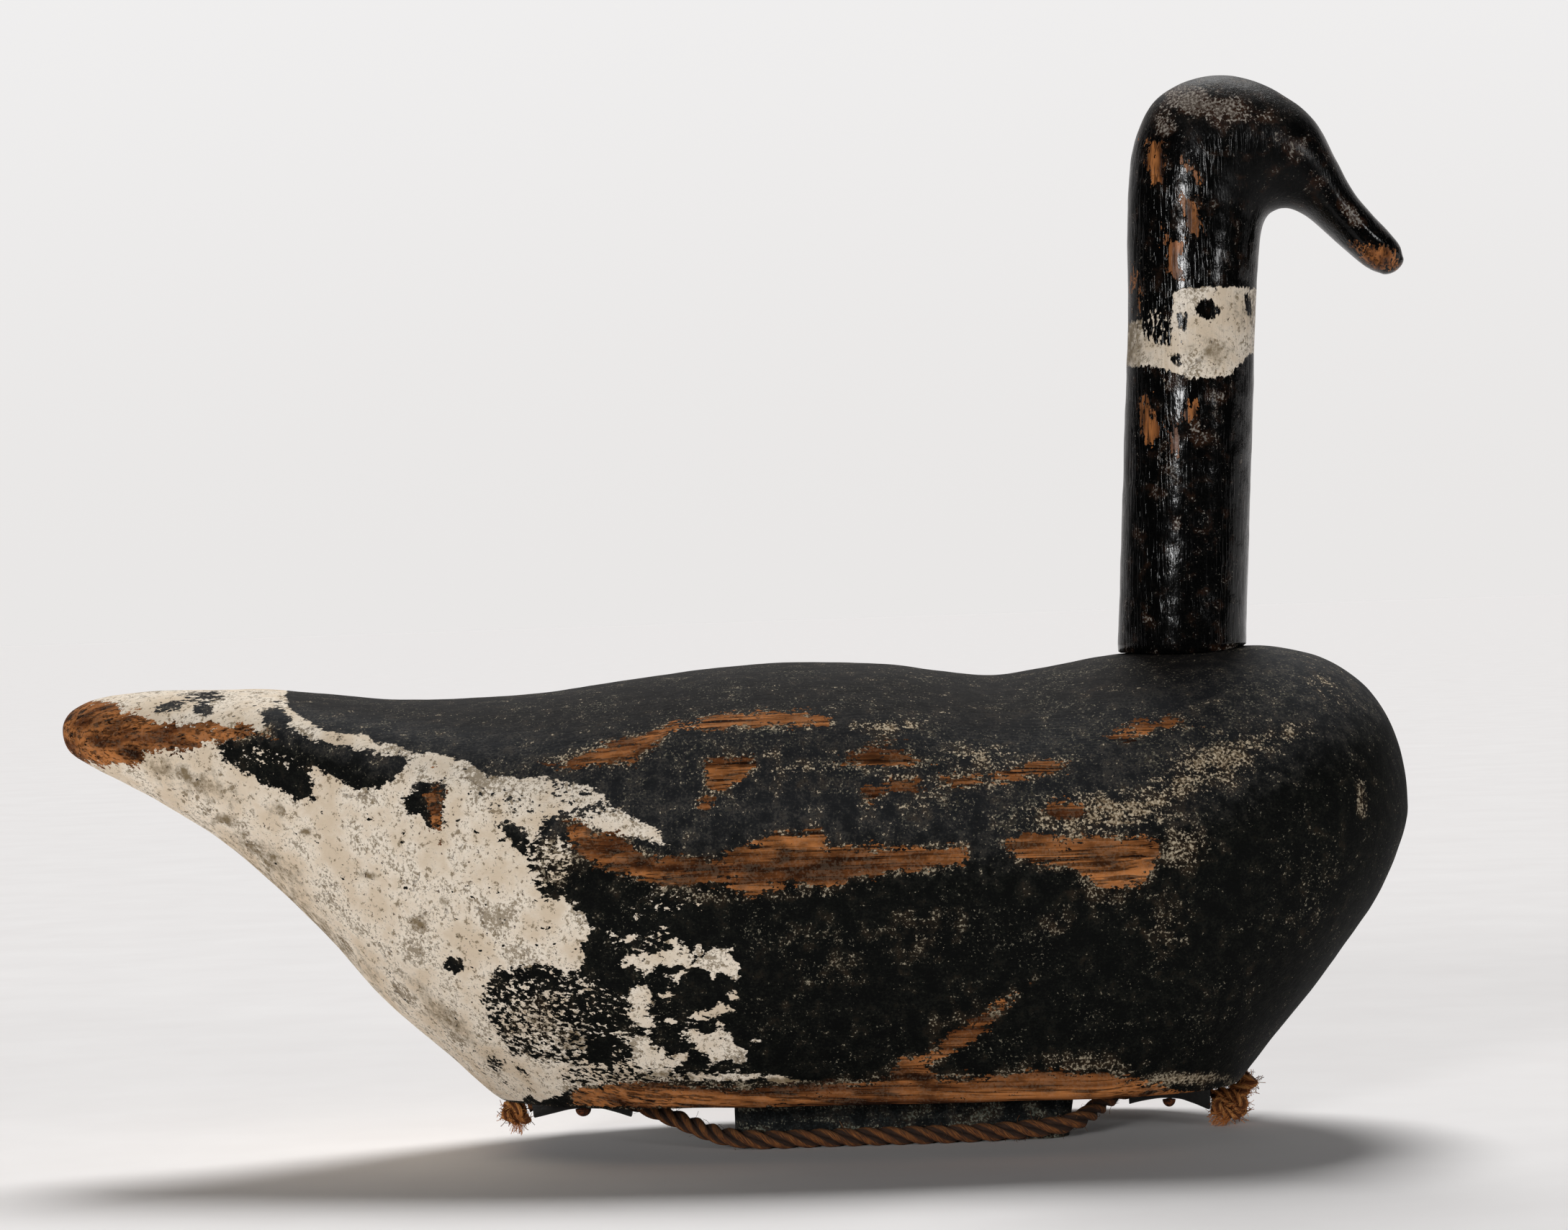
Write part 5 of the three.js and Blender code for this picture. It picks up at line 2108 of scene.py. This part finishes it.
@dataclass
class NailTree:
    """A node tree that puts a domed nail head at each point and a short stretch of shank."""

    name: str = "strap_nails"
    proud: float = 0.4
    sunk: float = 0.3
    head_height: float = 3.4
    shank: float = 2.6

    def build(self, material: Material) -> Tree:
        """Makes the tree, which reads each point's head width from the head attribute.

        Args:
            material: the nails' finish.

        Returns:
            The geometry node tree.
        """
        tree, given = start_shape_tree(self.name, ("Head Height",))
        ball = {"Segments": 40, "Rings": 24, "Radius": 0.5}
        dome = add(tree, "GeometryNodeMeshUVSphere", ball)
        place = add(tree, "GeometryNodeInputPosition")
        height = add(tree, "ShaderNodeSeparateXYZ", (place,), out="Z")
        flat = add(tree, MATH, (height, 0.0), operation="MINIMUM")
        doubled = add(tree, MATH, (flat, 2.0), operation="MULTIPLY")
        parts = add(tree, "ShaderNodeSeparateXYZ", (place,)).node.outputs
        spot = add(tree, "ShaderNodeCombineXYZ", (parts["X"], parts["Y"], doubled))
        head = add(tree, "GeometryNodeSetPosition", {"Geometry": dome, "Position": spot})
        width = add(tree, "GeometryNodeInputNamedAttribute", {"Name": "head"}, data_type="FLOAT")
        size = add(tree, "ShaderNodeCombineXYZ", (width, width, given["Head Height"]))
        heads = {"Points": given["Geometry"], "Instance": head, "Scale": size}
        heads = add(tree, "GeometryNodeInstanceOnPoints", heads)
        stem = {
            "Vertices": 20, "Radius": self.shank / 2 * MM, "Depth": (self.proud + self.sunk) * MM,
        }
        pin = add(tree, "GeometryNodeMeshCylinder", stem)
        lift = {"Geometry": pin, "Translation": (0, 0, (self.proud - self.sunk) / 2 * MM)}
        raised = add(tree, "GeometryNodeTransform", lift)
        pins = {"Points": given["Geometry"], "Instance": raised}
        pins = add(tree, "GeometryNodeInstanceOnPoints", pins)
        join = tree.nodes.new("GeometryNodeJoinGeometry")
        for shape in (heads, pins):
            tree.links.new(shape, join.inputs["Geometry"])
        return end_shape_tree(tree, join.outputs["Geometry"], material)

    def drive(self, straps: list, rope: Rope, material: Material) -> Object:
        """Drives one nail through the middle of each strap.

        Args:
            straps: the straps.
            rope: the rope under them.
            material: the nails' finish.

        Returns:
            The nails as one piece.
        """
        mesh = bpy.data.meshes.new("nail_points")
        spots = [strap.nail_point(rope) for strap in straps]
        mesh.from_pydata([(x, y, z - self.proud * MM) for x, y, z in spots], [], [])
        heads = mesh.attributes.new("head", "FLOAT", "POINT")
        heads.data.foreach_set("value", [strap.nail_head * MM for strap in straps])
        points = show("nail_points", mesh)
        height = self.head_height * MM
        nails = grow(points, self.build(material), self.name, head_height=height)
        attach(nails, "root")
        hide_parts("rear_strap_nail", "front_strap_nail")
        log.info("nails: %d", len(straps))
        return nails


def main() -> None:
    """Builds the decoy and the studio round it."""
    logging.basicConfig(level=logging.INFO, format="%(name)s: %(message)s")
    CAMERA.build()
    rope = Rope()
    sisal = Sisal().material()
    strands = StrandTree("twisted_strands").build(sisal)
    bristles = BristleTree("loose_fibres").build(sisal)
    frayed = Sisal("frayed_sisal", "#63320f", "#d07f3c", "#f0b86e", "#a07a42").material()
    knot_trees = (
        StrandTree("knotted_strands").build(frayed), BristleTree("frayed_fibres").build(frayed),
    )
    rope_pieces = rope.build(strands, bristles)
    rear = Knot(
        "rear_knot", "rear_knot", (-177.4, 0, 16.2), (12, 12.5, 12), 2.5, 2.6,
        (Tuft((-176, -2, 11), (-0.2, -0.2, -1), 2.4, 4.5, 0.35, 30),),
        ((-176, 1, 15), (-173, -1, 13), (-171.5, -3, 13.5)),
        2.4,
    )
    front = Knot(
        "front_knot", "front_knot", (147.9, 0, 9.6), (17.4, 17, 16), 2.6, 3.4,
        (Tuft((146, -4, 5), (-0.8, -0.3, -0.6), 3.5, 8, 0.45, 60),),
        ((148, 0, 9), (152.5, -2, 15.5), (158.6, -3.2, 21.6)),
    )
    knots = [*rear.build(*knot_trees), *front.build(*knot_trees)]
    body = Body()
    body.build(rope)
    HeadAndNeck().build(body)
    Keel().build()
    leather = Leather().material()
    straps = [
        Strap("rear_leather_strap", "rear_strap", -168, -124, 56, 7.2),
        Strap("front_leather_strap", "front_strap", 102.5, 139, 60, 6),
    ]
    for strap in straps:
        strap.build(rope, leather)
    NailTree().drive(straps, rope, RustyIron().material())
    Studio().build()
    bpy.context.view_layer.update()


if __name__ == "__main__":
    main()
